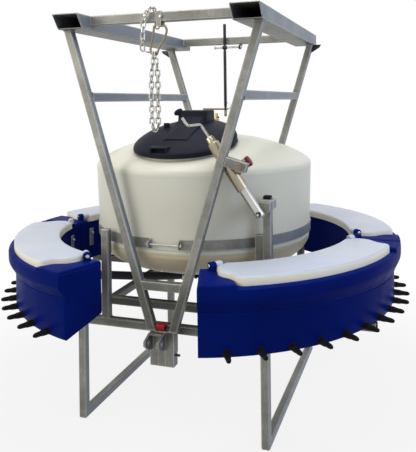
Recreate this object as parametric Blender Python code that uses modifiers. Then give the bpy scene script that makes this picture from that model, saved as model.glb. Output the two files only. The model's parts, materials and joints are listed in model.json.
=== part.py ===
"""Mobile multi-teat calf feeder: a milk tank in a ring of troughs, on skids, under a lifting cradle.

Units are metres and +Z is up. The origin is on the ground, on the tank's axis. -Y is the front, where the
low pivot carries the hitch ears, and +X is the side with the levelling jack. The cradle's two tine pockets
take a loader's pallet tines. The cradle is hung on two low pivots along Y, and the screw jack rolls it
against the base.
"""

from math import atan2, cos, degrees, hypot, pi, radians, sin, sqrt, tan

import bmesh
import bpy
from mathutils import Matrix, Vector

# Clearances
GAP = 0.0003
RUNNING = 0.0005

# The tank's radius sets where the cradle stands in front of and behind it
TANK_R = 0.5908
CRADLE_FRONT_REACH = 0.0352
CRADLE_REAR_REACH = 0.1402
CRADLE_FRONT_Y = -(TANK_R + CRADLE_FRONT_REACH)
CRADLE_REAR_Y = TANK_R + CRADLE_REAR_REACH

# Base frame and skids
TUBE = 0.040
FRAME_FRONT_SET_BACK = 0.077
FRAME_REAR_SET_BACK = 0.091
FRAME_FRONT_Y = CRADLE_FRONT_Y + FRAME_FRONT_SET_BACK
FRAME_REAR_Y = CRADLE_REAR_Y - FRAME_REAR_SET_BACK
SKID_OUTER_X = 0.490
RUNNER_HEIGHT = 0.038
RAIL_TOP_Z = 0.518
BEARER_HALF_LENGTH = 0.950
BEARER_INSET = 0.189
RISER_LENGTH = 0.040
TUBE_EDGE = 0.004

# Troughs, as angles from the front axis and radii from the tank's axis
TROUGH_OUTER_R = 1.050
TROUGH_LOWER_R = 1.015
TROUGH_INNER_R = 0.795
TROUGH_WALL = 0.007
TROUGH_FIRST_ANGLE = radians(17.4)
TROUGH_SEAM_HALF_GAP = 0.003
TROUGH_RIM_Z = 0.846
TROUGH_DECK_Z = 0.862
TROUGH_FLARE_TOP_Z = 0.775
TROUGH_FLARE_LOW_Z = 0.715
TROUGH_INNER_LOW_Z = 0.621
TROUGH_OUTER_LOW_Z = 0.560
TROUGH_CORNER = 0.014
TROUGH_STEPS = 10
DIVIDER_TOP_Z = 0.755
DIVIDER_WALL = 0.006
DECK_ANGLE = radians(5.0)
DECK_FLARE_ANGLE = radians(3.2)

# Teats
TEATS_PER_TROUGH = 9
TEAT_FIRST_ANGLE = radians(23.9)
TEAT_PITCH_ANGLE = radians(7.8)
TEAT_LENGTH = 0.078
TEAT_BASE_R = 0.016
TEAT_BULB_R = 0.0125
TEAT_TIP_R = 0.006
TEAT_Z = 0.582
TEAT_DROOP = radians(3.0)
TEAT_SIDES = 6

# Trough lids and their hinges
LID_THICKNESS = 0.038
LID_OUTER_R = 1.022
LID_INNER_R = 0.792
LID_EDGE = 0.009
LID_SEAT_GAP = 0.0006
LUG_R = 0.832
LUG_ANGLE = radians(3.9)
LUG_RADIUS = 0.0175
LUG_LENGTH = 0.028
LUG_NECK = 0.020
HINGE_PIN_R = 0.006
KNUCKLE_RADIUS = 0.0160
KNUCKLE_LENGTH = 0.034
KNUCKLE_GAP = 0.0008

# Tank
TANK_DRAFT = 0.0138
TANK_LOW_R = TANK_R - TANK_DRAFT
TANK_SHOULDER_Z = 1.248
TANK_LOW_Z = 0.8545
TANK_TOP_Z = 1.402
TANK_BOTTOM_Z = 0.675
TANK_WALL = 0.007
TANK_STEPS = 30

# Hatch on the front of the tank's top
HATCH_INSET = 0.3058
HATCH_Y = -(TANK_R - HATCH_INSET)
HATCH_Z = 1.366
HATCH_TILT = radians(9.0)
HATCH_R = 0.268
HATCH_SKIRT = 0.012
HATCH_RISE = 0.085
HATCH_APEX_BACK = 0.155
HATCH_WALL = 0.006
NECK_R = 0.252
NECK_WALL = 0.009
NECK_HEIGHT = 0.0080
NECK_DEPTH = 0.085
HATCH_BOSS_X = -0.055
HATCH_BOSS_BACK = 0.015
HATCH_BOSS_Y = HATCH_Y + HATCH_BOSS_BACK
HATCH_BOSS_LOW_Z = 1.400
HATCH_BOSS_R = 0.016
HATCH_BOSS_HEIGHT = 0.042
HATCH_BOX_HALF = 0.080
HATCH_BOX_LENGTH = 0.135
HATCH_BOX_TOP = 0.150
HATCH_HINGE_BACK = 0.032
HATCH_HINGE_UP = 0.024
HATCH_BARREL_R = 0.014
HATCH_PIN_R = 0.006
HATCH_EAR = 0.012
FITTING_X = 0.010
FITTING_Y = 0.205
FITTING_TOP_Z = 1.512

# Tank band, its posts and the tensioner
BAND_Z = 0.910
BAND_HEIGHT = 0.050
BAND_THICKNESS = 0.004
BAND_EAR = 0.036
BAND_LEFT_ANGLE = radians(-6.4)
BAND_RIGHT_ANGLE = radians(7.2)
BAND_REAR_HALF_GAP = radians(0.35)
BAND_STEPS = 20
TENSIONER_R = 0.005
TENSIONER_NUT_R = 0.009
TENSIONER_NUT = 0.009
FRONT_LEFT_POST_X = -0.336
REAR_POST_X = 0.460
POST_TOP_Z = 0.955
ANCHOR_WIDTH = 0.038
ANCHOR_LOW_Z = 0.600

# Outlet below the tank and the feed hoses
VALVE_R = 0.043
VALVE_TOP_Z = 0.660
VALVE_LOW_Z = 0.575
SPIGOT_R = 0.024
SPIGOT_REACH = 0.105
FEED_Z = 0.618
STEM_R = 0.009
STEM_LENGTH = 0.034
VALVE_LEVER = 0.120
HOSE_R = 0.022
HOSE_END_Z = 0.662
HOSE_FACET = 5

# Cradle
POCKET_INNER_X = 0.3725
POCKET_WIDTH = 0.140
POCKET_LOW_Z = 1.9386
POCKET_HEIGHT = 0.070
POCKET_WALL = 0.005
POCKET_FRONT_OVERHANG = 0.042
POCKET_FRONT_Y = CRADLE_FRONT_Y - POCKET_FRONT_OVERHANG
POCKET_LIP = 0.054
POCKET_REAR_OVERHANG = 0.066
POCKET_REAR_Y = CRADLE_REAR_Y + POCKET_REAR_OVERHANG
CROSSBAR_HEIGHT = 0.048
CROSSBAR_DEPTH = 0.040
CROSSBAR_TOP_Z = 2.008
CROSSBAR_SET_BACK = 0.0325
LEG_TOP_X = 0.4847
LEG_LOW_X = 0.1052
LEG_LOW_Z = 0.6853
BRACE_LOW_Z = 1.587
BRACE_HEIGHT = 0.045
TIE_LOW_Z = 0.700
BLOCK_WIDTH = 0.120
BLOCK_DEPTH = 0.048
BLOCK_LOW_Z = 0.352
BLOCK_TOP_Z = 0.515
BLOCK_GROOVE = 0.003
PIVOT_Z = 0.440
PIVOT_R = 0.014
PIVOT_BORE_DEPTH = 0.036
PIVOT_LUG_HALF = 0.045
PIVOT_LUG_LOW_Z = 0.395
EAR_THICKNESS = 0.010
EAR_REACH = 0.085
EAR_LOW_Z = 0.440
EAR_HOLE_R = 0.011
EAR_LEFT_X = -0.055
EAR_RIGHT_X = 0.010
KEEPER_R = 0.006
KEEPER_Z = 0.405

# Levelling jack, in its own plane behind the front V
JACK_SET_BACK = 0.076
JACK_Y = CRADLE_FRONT_Y + JACK_SET_BACK
JACK_LEAN = radians(34.5)
JACK_PIN_X = 0.455
JACK_PIN_Z = 1.070
JACK_PIN_R = 0.0055
JACK_EYE_R = 0.0130
JACK_TUBE_R = 0.0285
JACK_TUBE_START = 0.130
JACK_TUBE_END = 0.385
JACK_HEAD_R = 0.021
JACK_HEAD_END = 0.418
RAM_R = 0.0225
RAM_WALL = 0.004
RAM_START = -0.018
RAM_END = 0.290
SWIVEL_S = 0.223
SWIVEL_OFFSET = 0.066
SWIVEL_R = 0.0235
SWIVEL_REACH = 0.115
SWIVEL_PIN_R = 0.008
BRACKET_HEIGHT = 0.045
BRACKET_REACH = 0.104
BRACKET_Z = 1.300
JACK_POST_TOP_Z = 1.078
JACK_POST_SET_BACK = 0.099
JACK_POST_Y = FRAME_FRONT_Y + JACK_POST_SET_BACK
COLLAR_WALL = 0.014
COLLAR_HEIGHT = 0.045
COLLAR_CAP = 0.016
CRANK_R = 0.006
CRANK_SHAFT_END = 0.490
CRANK_ARM = 0.170
CRANK_GRIP = 0.045
KNOB_R = 0.021
KNOB_LENGTH = 0.042

# Chain, hook and strap on the front crossbar
CHAIN_X = -0.038
CHAIN_SET_BACK = 0.041
CHAIN_Y = CRADLE_FRONT_Y + CHAIN_SET_BACK
CHAIN_WIRE_R = 0.0033
CHAIN_PITCH = 0.040
CHAIN_WIDTH = 0.026
CHAIN_BITE = 0.35
CHAIN_LOW_Z = 1.443
CHAIN_STRAND_GAP = 0.028
HOOK_WIRE_R = 0.0055
HOOK_LOW_Z = 1.808
STRAP_X = -0.010
STRAP_WIDTH = 0.024
STRAP_THICKNESS = 0.004
STRAP_EYE = 0.016

# Release lever at the rear crossbar
LEVER_X = -0.069
LEVER_SET_BACK = 0.093
LEVER_Y = CRADLE_REAR_Y - LEVER_SET_BACK
LEVER_R = 0.0080
LEVER_TOP_Z = 2.093
LEVER_LOW_Z = 1.482
LEVER_PIVOT_Z = 1.937
LEVER_LINK_Z = 1.530
LEVER_LINK_X = -0.225
LEVER_BOLT_R = 0.0060
LEVER_BRACKET_X = 0.030

MATERIALS = {
    "galvanised": ((0.42, 0.44, 0.45, 1.0), 0.42, 0.9),
    "navy_plastic": ((0.012, 0.025, 0.15, 1.0), 0.38, 0.0),
    "white_plastic": ((0.72, 0.74, 0.78, 1.0), 0.40, 0.0),
    "tank_plastic": ((0.66, 0.65, 0.58, 1.0), 0.45, 0.0),
    "black_plastic": ((0.020, 0.021, 0.026, 1.0), 0.45, 0.0),
    "zinc": ((0.62, 0.60, 0.55, 1.0), 0.25, 1.0),
    "black_rubber": ((0.012, 0.012, 0.012, 1.0), 0.65, 0.0),
    "red_plastic": ((0.45, 0.02, 0.02, 1.0), 0.45, 0.0),
    "black_steel": ((0.015, 0.015, 0.015, 1.0), 0.50, 0.6),
    "brass": ((0.55, 0.38, 0.12, 1.0), 0.30, 1.0),
}

X_AXIS = Vector((1, 0, 0))
Y_AXIS = Vector((0, 1, 0))
Z_AXIS = Vector((0, 0, 1))


def clear_scene():
    for obj in list(bpy.data.objects):
        bpy.data.objects.remove(obj, do_unlink=True)


def new_collection(name):
    collection = bpy.data.collections.new(name)
    bpy.context.scene.collection.children.link(collection)
    return collection


clear_scene()
PARTS = new_collection("multi_teat_milk_feeder")
CUTTERS = new_collection("cutters")


def material(name):
    made = bpy.data.materials.get(name)
    if made:
        return made
    colour, roughness, metallic = MATERIALS[name]
    made = bpy.data.materials.new(name)
    made.use_nodes = True
    shader = made.node_tree.nodes["Principled BSDF"]
    shader.inputs["Base Color"].default_value = colour
    shader.inputs["Roughness"].default_value = roughness
    shader.inputs["Metallic"].default_value = metallic
    made.diffuse_color = colour
    return made


def mesh_object(name, bm, finish, origin=(0, 0, 0)):
    """An object from a bmesh whose points are in world space, with its origin moved to a joint's axis."""
    origin = Vector(origin)
    bmesh.ops.translate(bm, verts=bm.verts, vec=-origin)
    bmesh.ops.recalc_face_normals(bm, faces=bm.faces)
    mesh = bpy.data.meshes.new(name)
    bm.to_mesh(mesh)
    bm.free()
    mesh.materials.append(material(finish))
    mesh.shade_smooth()
    mesh.set_sharp_from_angle(angle=radians(32))
    obj = bpy.data.objects.new(name, mesh)
    obj.location = origin
    PARTS.objects.link(obj)
    return obj


def hide(obj):
    for collection in list(obj.users_collection):
        collection.objects.unlink(obj)
    CUTTERS.objects.link(obj)
    obj.hide_render = True
    obj.display_type = "WIRE"
    return obj


def combine(obj, others, operation):
    """Adds Boolean modifiers, and puts what they use among the cutters."""
    for other in others:
        modifier = obj.modifiers.new(f"{operation.lower()} {other.name}", "BOOLEAN")
        modifier.operation = operation
        modifier.solver = "EXACT"
        modifier.object = hide(other)
    return obj


def soften(obj, width, segments=1, angle=radians(40)):
    modifier = obj.modifiers.new("rounded edges", "BEVEL")
    modifier.width = width
    modifier.segments = segments
    modifier.limit_method = "ANGLE"
    modifier.angle_limit = angle
    return obj


def box(name, low, high, finish, edge=0.0, origin=(0, 0, 0)):
    """A box between two corners."""
    bm = bmesh.new()
    size = [b - a for a, b in zip(low, high)]
    middle = [(a + b) / 2 for a, b in zip(low, high)]
    matrix = Matrix.Translation(middle) @ Matrix.Diagonal((*size, 1.0))
    bmesh.ops.create_cube(bm, size=1.0, matrix=matrix)
    obj = mesh_object(name, bm, finish, origin)
    if edge:
        soften(obj, edge)
    return obj


def rod(name, start, end, radius, finish, end_radius=None, sides=16, origin=(0, 0, 0)):
    """A straight round bar or cone between two points."""
    start, end = Vector(start), Vector(end)
    axis = end - start
    matrix = Matrix.Translation((start + end) / 2) @ axis.to_track_quat("Z", "Y").to_matrix().to_4x4()
    bm = bmesh.new()
    bmesh.ops.create_cone(
        bm,
        cap_ends=True,
        segments=sides,
        radius1=radius,
        radius2=radius if end_radius is None else end_radius,
        depth=axis.length,
        matrix=matrix,
    )
    return mesh_object(name, bm, finish, origin)


def plate(name, outline, to_world, thickness, finish, edge=0.0, origin=(0, 0, 0)):
    """A flat outline, thickened to one side along the third axis of to_world."""
    bm = bmesh.new()
    face = bm.faces.new([bm.verts.new(to_world @ Vector((u, v, 0))) for u, v in outline])
    pushed = bmesh.ops.extrude_face_region(bm, geom=[face])
    step = (to_world.to_3x3() @ Z_AXIS).normalized() * thickness
    moved = [part for part in pushed["geom"] if isinstance(part, bmesh.types.BMVert)]
    bmesh.ops.translate(bm, verts=moved, vec=step)
    obj = mesh_object(name, bm, finish, origin)
    if edge:
        soften(obj, edge)
    return obj


def upright_plane(y):
    """Outline (x, z) in the plane at y, thickened towards +Y."""
    return Matrix(((1, 0, 0, 0), (0, 0, 1, y), (0, 1, 0, 0), (0, 0, 0, 1)))


def side_plane(x):
    """Outline (y, z) in the plane at x, thickened towards +X."""
    return Matrix(((0, 0, 1, x), (1, 0, 0, 0), (0, 1, 0, 0), (0, 0, 0, 1)))


def turned(name, profile, finish, matrix=Matrix(), steps=24, origin=(0, 0, 0)):
    """A turned solid about the matrix's Z axis. Its profile (r, z) runs down the outer side."""
    bm = bmesh.new()
    verts = [bm.verts.new((r, 0, z)) for r, z in profile]
    edges = [bm.edges.new(pair) for pair in zip(verts, verts[1:])]
    bmesh.ops.spin(
        bm,
        geom=verts + edges,
        cent=(0, 0, 0),
        axis=Z_AXIS,
        angle=2 * pi,
        steps=steps,
        use_merge=True,
    )
    bmesh.ops.remove_doubles(bm, verts=bm.verts, dist=1e-5)
    bmesh.ops.transform(bm, matrix=matrix, verts=bm.verts)
    return mesh_object(name, bm, finish, origin)


def stacked(name, rings, finish, matrix, steps, origin):
    """A closed skin over rings (r, z, back), each moved back by its own amount. Both ends come to a point."""
    bm = bmesh.new()
    rows = []
    for r, z, back in rings:
        if r < 1e-6:
            rows.append([bm.verts.new((0, back, z))] * steps)
            continue
        turns = [2 * pi * (k + 0.5) / steps for k in range(steps)]
        rows.append([bm.verts.new((r * cos(a), back + r * sin(a), z)) for a in turns])
    for row, below in zip(rows, rows[1:]):
        for k in range(steps):
            after = (k + 1) % steps
            corners = (row[k], below[k], below[after], row[after])
            bm.faces.new(list(dict.fromkeys(corners)))
    bmesh.ops.recalc_face_normals(bm, faces=bm.faces)
    bmesh.ops.transform(bm, matrix=matrix, verts=bm.verts)
    return mesh_object(name, bm, finish, origin)


def swept(name, profile, start, end, steps, finish):
    """A closed outline (r, z) swept round the tank's axis, from one angle to another off the front axis."""
    bm = bmesh.new()
    points = [around(start, r, z) for r, z in profile]
    face = bm.faces.new([bm.verts.new(point) for point in points])
    bmesh.ops.spin(
        bm,
        geom=[face, *face.edges, *face.verts],
        cent=(0, 0, 0),
        axis=Z_AXIS,
        angle=end - start,
        steps=steps,
        use_duplicate=False,
    )
    return mesh_object(name, bm, finish)


def around(angle, r, z):
    """A point at an angle from the front axis, positive towards +X."""
    return Vector((r * sin(angle), -r * cos(angle), z))


def curve_object(name, points, radius, finish, kind="POLY", sides=2, cyclic=False, resolution=4):
    """A round bar or tube along points, as a mesh whose caps are welded."""
    curve = bpy.data.curves.new(name, "CURVE")
    curve.dimensions = "3D"
    curve.bevel_depth = radius
    curve.bevel_resolution = sides
    curve.use_fill_caps = not cyclic
    curve.resolution_u = resolution
    spline = curve.splines.new(kind)
    if kind == "BEZIER":
        spline.bezier_points.add(len(points) - 1)
        for knot, point in zip(spline.bezier_points, points):
            knot.co = point
            knot.handle_left_type = "AUTO"
            knot.handle_right_type = "AUTO"
    else:
        spline.points.add(len(points) - 1)
        for knot, point in zip(spline.points, points):
            knot.co = (*point, 1.0)
    spline.use_cyclic_u = cyclic
    guide = bpy.data.objects.new(name + "_guide", curve)
    CUTTERS.objects.link(guide)
    bpy.context.view_layer.update()
    graph = bpy.context.evaluated_depsgraph_get()
    mesh = bpy.data.meshes.new_from_object(guide.evaluated_get(graph))
    bm = bmesh.new()
    bm.from_mesh(mesh)
    bmesh.ops.remove_doubles(bm, verts=bm.verts, dist=1e-6)
    bpy.data.objects.remove(guide, do_unlink=True)
    bpy.data.curves.remove(curve)
    bpy.data.meshes.remove(mesh)
    return mesh_object(name, bm, finish)


def mirrored(obj, name, about_x=True, finish=None):
    """A copy of a finished object, mirrored about the plane x = 0 or y = 0, with its modifiers applied."""
    bpy.context.view_layer.update()
    graph = bpy.context.evaluated_depsgraph_get()
    mesh = bpy.data.meshes.new_from_object(obj.evaluated_get(graph))
    bm = bmesh.new()
    bm.from_mesh(mesh)
    bpy.data.meshes.remove(mesh)
    flip = Matrix.Scale(-1, 4, X_AXIS if about_x else Y_AXIS)
    bmesh.ops.transform(bm, matrix=flip @ obj.matrix_world, verts=bm.verts)
    bmesh.ops.reverse_faces(bm, faces=bm.faces)
    origin = flip @ obj.matrix_world.translation
    return mesh_object(name, bm, finish or obj.data.materials[0].name, origin)


def build_skids():
    """Each skid is a U: a front post, a runner on the ground and a rear post, welded into one."""
    top = RAIL_TOP_Z - TUBE - GAP
    for side, name in ((-1, "left_skid"), (1, "right_skid")):
        x0, x1 = sorted((side * SKID_OUTER_X, side * (SKID_OUTER_X - TUBE)))
        front, rear = FRAME_FRONT_Y, FRAME_REAR_Y
        outline = [
            (front, 0),
            (rear, 0),
            (rear, top),
            (rear - TUBE, top),
            (rear - TUBE, RUNNER_HEIGHT),
            (front + TUBE, RUNNER_HEIGHT),
            (front + TUBE, top),
            (front, top),
        ]
        plate(name, outline, side_plane(x0), x1 - x0, "galvanised", TUBE_EDGE)


def build_base_frame():
    """Front and rear rails on the skid posts, side rails between them, and two bearers across those."""
    low, high = RAIL_TOP_Z - TUBE, RAIL_TOP_Z
    for name, y0 in (("front_rail", FRAME_FRONT_Y), ("rear_rail", FRAME_REAR_Y - TUBE)):
        rail = box(name, (-SKID_OUTER_X, y0, low), (SKID_OUTER_X, y0 + TUBE, high), "galvanised", TUBE_EDGE)
        combine(rail, [pivot_lug(name)], "UNION")
        combine(rail, [pivot_bore(name)], "DIFFERENCE")
    y0, y1 = FRAME_FRONT_Y + TUBE + GAP, FRAME_REAR_Y - TUBE - GAP
    for side, name in ((-1, "left_side_rail"), (1, "right_side_rail")):
        x0, x1 = sorted((side * SKID_OUTER_X, side * (SKID_OUTER_X - TUBE)))
        box(name, (x0, y0, low), (x1, y1, high), "galvanised", TUBE_EDGE)
    for name, y0 in (("front_bearer", bearer_y(0)), ("rear_bearer", bearer_y(1))):
        bearer(name, y0)


def bearer_y(rear):
    """Low y side of the front or rear bearer, set in from the ends of the frame."""
    if rear:
        return FRAME_REAR_Y - BEARER_INSET - TUBE
    return FRAME_FRONT_Y + BEARER_INSET


def bearer_top():
    return TROUGH_OUTER_LOW_Z - GAP


def trough_floor_z(r):
    """Underside of a trough at a radius: it falls from the inner wall to the outer wall."""
    slope = (TROUGH_INNER_LOW_Z - TROUGH_OUTER_LOW_Z) / (TROUGH_LOWER_R - TROUGH_CORNER - TROUGH_INNER_R)
    return TROUGH_INNER_LOW_Z - slope * (r - TROUGH_INNER_R)


def bearer(name, y0):
    """A cross tube under the troughs, with a riser near each trough's inner wall."""
    top = bearer_top()
    low = (-BEARER_HALF_LENGTH, y0, RAIL_TOP_Z + GAP)
    tube = box(name, low, (BEARER_HALF_LENGTH, y0 + TUBE, top), "galvanised", TUBE_EDGE)
    far_y = max(abs(y0), abs(y0 + TUBE))
    near_y = min(abs(y0), abs(y0 + TUBE))
    inner_x = sqrt(TROUGH_INNER_R**2 - near_y**2) + 0.002
    outer_x = inner_x + RISER_LENGTH
    riser_top = trough_floor_z(hypot(outer_x, far_y)) - GAP
    risers = []
    for side in (-1, 1):
        x0, x1 = sorted((side * inner_x, side * outer_x))
        inset = TUBE_EDGE
        corner_low = (x0, y0 + inset, top - 0.01)
        corner_high = (x1, y0 + TUBE - inset, riser_top)
        risers.append(box(f"{name}_riser_{side}", corner_low, corner_high, "galvanised"))
    combine(tube, risers, "UNION")


def pivot_face_y(name):
    """Outer face of the lug on a rail, where the cradle's pivot block runs past it."""
    if name.startswith("front"):
        return CRADLE_FRONT_Y + BLOCK_DEPTH + 2 * RUNNING
    return CRADLE_REAR_Y - BLOCK_DEPTH - 2 * RUNNING


def pivot_lug(name):
    """A plate under the rail that carries the pivot pin."""
    face = pivot_face_y(name)
    rail_face = FRAME_FRONT_Y if name.startswith("front") else FRAME_REAR_Y
    inner = rail_face + 0.012 * (1 if name.startswith("front") else -1)
    y0, y1 = sorted((face, inner))
    low, high = (-PIVOT_LUG_HALF, y0, PIVOT_LUG_LOW_Z), (PIVOT_LUG_HALF, y1, RAIL_TOP_Z - 0.006)
    return box(name + "_lug", low, high, "galvanised")


def pivot_bore(name):
    outward = -1 if name.startswith("front") else 1
    face = pivot_face_y(name)
    return rod(
        name + "_bore",
        (0, face + 0.02 * outward, PIVOT_Z),
        (0, face - 0.12 * outward, PIVOT_Z),
        PIVOT_R + GAP,
        "galvanised",
        sides=16,
    )


def build_pivot_pins():
    """Each pin is held in a rail's lug and runs in the blind bore of the cradle's block."""
    for name, outward in (("front", -1), ("rear", 1)):
        face = pivot_face_y(name)
        tip = (0, face + outward * (PIVOT_BORE_DEPTH - 0.002), PIVOT_Z)
        rail_face = FRAME_FRONT_Y if outward < 0 else FRAME_REAR_Y
        tail = (0, rail_face - outward * 0.014, PIVOT_Z)
        rod(f"{name}_pivot_pin", tip, tail, PIVOT_R, "zinc", sides=16)


def build_posts():
    """Uprights that locate the tank by its band."""
    y0 = FRAME_FRONT_Y
    x0 = FRONT_LEFT_POST_X - TUBE / 2
    low, high = (x0, y0, RAIL_TOP_Z + GAP), (x0 + TUBE, y0 + TUBE, POST_TOP_Z)
    box("front_left_post", low, high, "galvanised", TUBE_EDGE)
    post_x = SKID_OUTER_X - TUBE
    half = TUBE / 2
    y0, y1 = JACK_POST_Y - half, JACK_POST_Y + half
    anchor_low = (post_x - ANCHOR_WIDTH, y0 + 0.005, ANCHOR_LOW_Z)
    anchor = box("band_anchor", anchor_low, (post_x + 0.004, y1 - 0.005, POST_TOP_Z), "galvanised")
    rear_y = bearer_y(1)
    for side, name in ((-1, "rear_left_post"), (1, "rear_right_post")):
        x0 = side * REAR_POST_X - half
        low, high = (x0, rear_y, bearer_top() + GAP), (x0 + TUBE, rear_y + TUBE, POST_TOP_Z)
        box(name, low, high, "galvanised", TUBE_EDGE)
    low, high = (post_x, y0, RAIL_TOP_Z + GAP), (SKID_OUTER_X, y1, JACK_POST_TOP_Z)
    post = box("jack_post", low, high, "galvanised", TUBE_EDGE)
    combine(post, [anchor], "UNION")


def tank_radius(z):
    """The tank's wall tapers a little towards its lower shoulder."""
    share = (z - TANK_LOW_Z) / (TANK_SHOULDER_Z - TANK_LOW_Z)
    return TANK_LOW_R + share * (TANK_R - TANK_LOW_R)


def tank_profile(inset):
    """Half outline of the tank from top to bottom, moved inwards by inset."""
    top, low = TANK_TOP_Z, TANK_BOTTOM_Z
    rise = TANK_TOP_Z - TANK_SHOULDER_Z
    drop = TANK_LOW_Z - TANK_BOTTOM_Z
    outline = [(0, top)]
    for share, height in ((0.28, 0.965), (0.52, 0.83), (0.76, 0.56), (0.92, 0.28), (0.985, 0.09)):
        outline.append((TANK_R * share, TANK_SHOULDER_Z + rise * height))
    outline += [(TANK_R, TANK_SHOULDER_Z - 0.008), (TANK_LOW_R, TANK_LOW_Z)]
    for share, height in ((0.965, 0.82), (0.78, 0.36), (0.45, 0.10), (0.12, 0.0)):
        outline.append((TANK_LOW_R * share, low + drop * height))
    outline.append((0, low))
    middle = (top + low) / 2
    if not inset:
        return outline
    shrunk = []
    for r, z in outline:
        along = 1 - inset / TANK_R
        tall = 1 - 2 * inset / (top - low)
        shrunk.append((r * along, middle + (z - middle) * tall))
    return shrunk


def hatch_frame():
    """Matrix of the hatch's rim plane, whose Z axis leans forward with the tank's top."""
    return Matrix.Translation((0, HATCH_Y, HATCH_Z)) @ Matrix.Rotation(HATCH_TILT, 4, "X")


def hatch_hinge():
    """The hinge axis lies behind and above the rear of the rim."""
    return hatch_frame() @ Vector((0, HATCH_R + HATCH_HINGE_BACK, HATCH_HINGE_UP))


def build_tank():
    """A rotationally moulded shell with a dished top, a coned bottom, a hatch neck and an outlet."""
    tank = turned("tank_shell", tank_profile(0), "tank_plastic", steps=TANK_STEPS)
    frame = hatch_frame()
    neck = rod(
        "tank_neck",
        frame @ Vector((0, 0, -NECK_DEPTH)),
        frame @ Vector((0, 0, NECK_HEIGHT)),
        NECK_R,
        "tank_plastic",
        sides=24,
    )
    spigot = rod(
        "tank_spigot",
        (0, 0, TANK_BOTTOM_Z + 0.02),
        (0, 0, VALVE_TOP_Z + GAP),
        0.030,
        "tank_plastic",
        sides=20,
    )
    hinge = hatch_hinge()
    ears = []
    for side in (-1, 1):
        x0 = side * (HATCH_BOX_HALF + 0.001 + HATCH_EAR / 2) - HATCH_EAR / 2
        foot = TANK_TOP_Z - 0.03
        outline = [
            (hinge.y - 0.020, foot),
            (hinge.y + 0.026, foot),
            (hinge.y + 0.013, hinge.z + 0.010),
            (hinge.y, hinge.z + 0.016),
            (hinge.y - 0.013, hinge.z + 0.010),
        ]
        ears.append(plate(f"hatch_ear_{side}", outline, side_plane(x0), HATCH_EAR, "tank_plastic"))
    reach = HATCH_BOX_HALF + 0.001 + HATCH_EAR
    pin = rod(
        "hatch_pin",
        hinge - X_AXIS * (reach + 0.004),
        hinge + X_AXIS * (reach + 0.004),
        HATCH_PIN_R,
        "zinc",
        sides=12,
    )
    inside = turned("tank_inside", tank_profile(TANK_WALL), "tank_plastic", steps=TANK_STEPS * 3 // 4)
    mouth = rod(
        "tank_mouth",
        frame @ Vector((0, 0, -NECK_DEPTH - 0.05)),
        frame @ Vector((0, 0, NECK_HEIGHT + 0.05)),
        NECK_R - NECK_WALL,
        "tank_plastic",
        sides=24,
    )
    outlet = rod(
        "tank_outlet",
        (0, 0, TANK_BOTTOM_Z + 0.05),
        (0, 0, VALVE_TOP_Z - 0.02),
        0.022,
        "tank_plastic",
        sides=20,
    )
    combine(tank, [neck, spigot, *ears], "UNION")
    combine(tank, [inside, mouth, outlet], "DIFFERENCE")
    combine(tank, [pin], "UNION")


def build_hatch_lid():
    """A domed lid with a skirt over the neck, a hinge hood at the rear and a latch recess in front."""
    frame = hatch_frame()
    hinge = hatch_hinge()
    shares = ((0, 1.0), (0.10, 0.96), (0.40, 0.68), (0.70, 0.37), (0.95, 0.08))
    crown = HATCH_RISE - HATCH_SKIRT
    wall = HATCH_WALL
    outer = [(HATCH_R * r, HATCH_SKIRT + crown * z, HATCH_APEX_BACK * z) for r, z in shares]
    inner = [(r * (1 - wall / HATCH_R), z - wall, back) for r, z, back in reversed(outer)]
    outer += [(HATCH_R, HATCH_SKIRT - 0.002, 0), (HATCH_R, 0, 0)]
    inner = [(HATCH_R - wall, 0, 0), (HATCH_R - wall, HATCH_SKIRT - 0.003, 0)] + inner
    lid = stacked("hatch_lid", outer + inner, "black_plastic", frame, steps=24, origin=hinge)
    rear = HATCH_R - 0.006
    front = rear - HATCH_BOX_LENGTH
    outline = [
        (front - 0.030, HATCH_RISE - 0.030),
        (rear - 0.004, HATCH_SKIRT + 0.003),
        (rear, HATCH_BOX_TOP - 0.020),
        (front, HATCH_BOX_TOP),
    ]
    half = HATCH_BOX_HALF
    hood = plate("hatch_hood", outline, frame @ side_plane(-half), 2 * half, "black_plastic", 0.006)
    arm_front = HATCH_R - 0.0045
    arm_outline = [
        (arm_front, HATCH_SKIRT - 0.012),
        (HATCH_R + HATCH_HINGE_BACK, HATCH_HINGE_UP - HATCH_BARREL_R * 0.8),
        (HATCH_R + HATCH_HINGE_BACK, HATCH_HINGE_UP + HATCH_BARREL_R * 0.8),
        (arm_front, HATCH_HINGE_UP + 0.040),
    ]
    arm = plate("hatch_arm", arm_outline, frame @ side_plane(-half), 2 * half, "black_plastic")
    barrel = rod(
        "hatch_barrel",
        hinge - X_AXIS * half,
        hinge + X_AXIS * half,
        HATCH_BARREL_R,
        "black_plastic",
        sides=16,
    )
    bore = rod(
        "hatch_bore",
        hinge - X_AXIS * 0.12,
        hinge + X_AXIS * 0.12,
        HATCH_PIN_R + RUNNING,
        "black_plastic",
        sides=12,
    )
    low = (-0.092, -HATCH_R + 0.012, NECK_HEIGHT + 0.002)
    high = (0.006, -HATCH_R + 0.062, HATCH_SKIRT + 0.012)
    pad = box("hatch_latch_pad", low, high, "black_plastic")
    low = (-0.084, -HATCH_R - 0.020, NECK_HEIGHT + 0.006)
    high = (-0.002, -HATCH_R + 0.052, HATCH_SKIRT + 0.060)
    recess = box("hatch_latch_recess", low, high, "black_plastic")
    for obj in (pad, recess):
        obj.matrix_world = frame
    boss_at = Vector((HATCH_BOSS_X, HATCH_BOSS_Y, HATCH_BOSS_LOW_Z))
    boss = rod(
        "hatch_boss", boss_at, boss_at + Z_AXIS * HATCH_BOSS_HEIGHT, HATCH_BOSS_R, "black_plastic", sides=12
    )
    combine(lid, [pad, hood, arm, barrel, boss], "UNION")
    combine(lid, [bore, recess], "DIFFERENCE")


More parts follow.
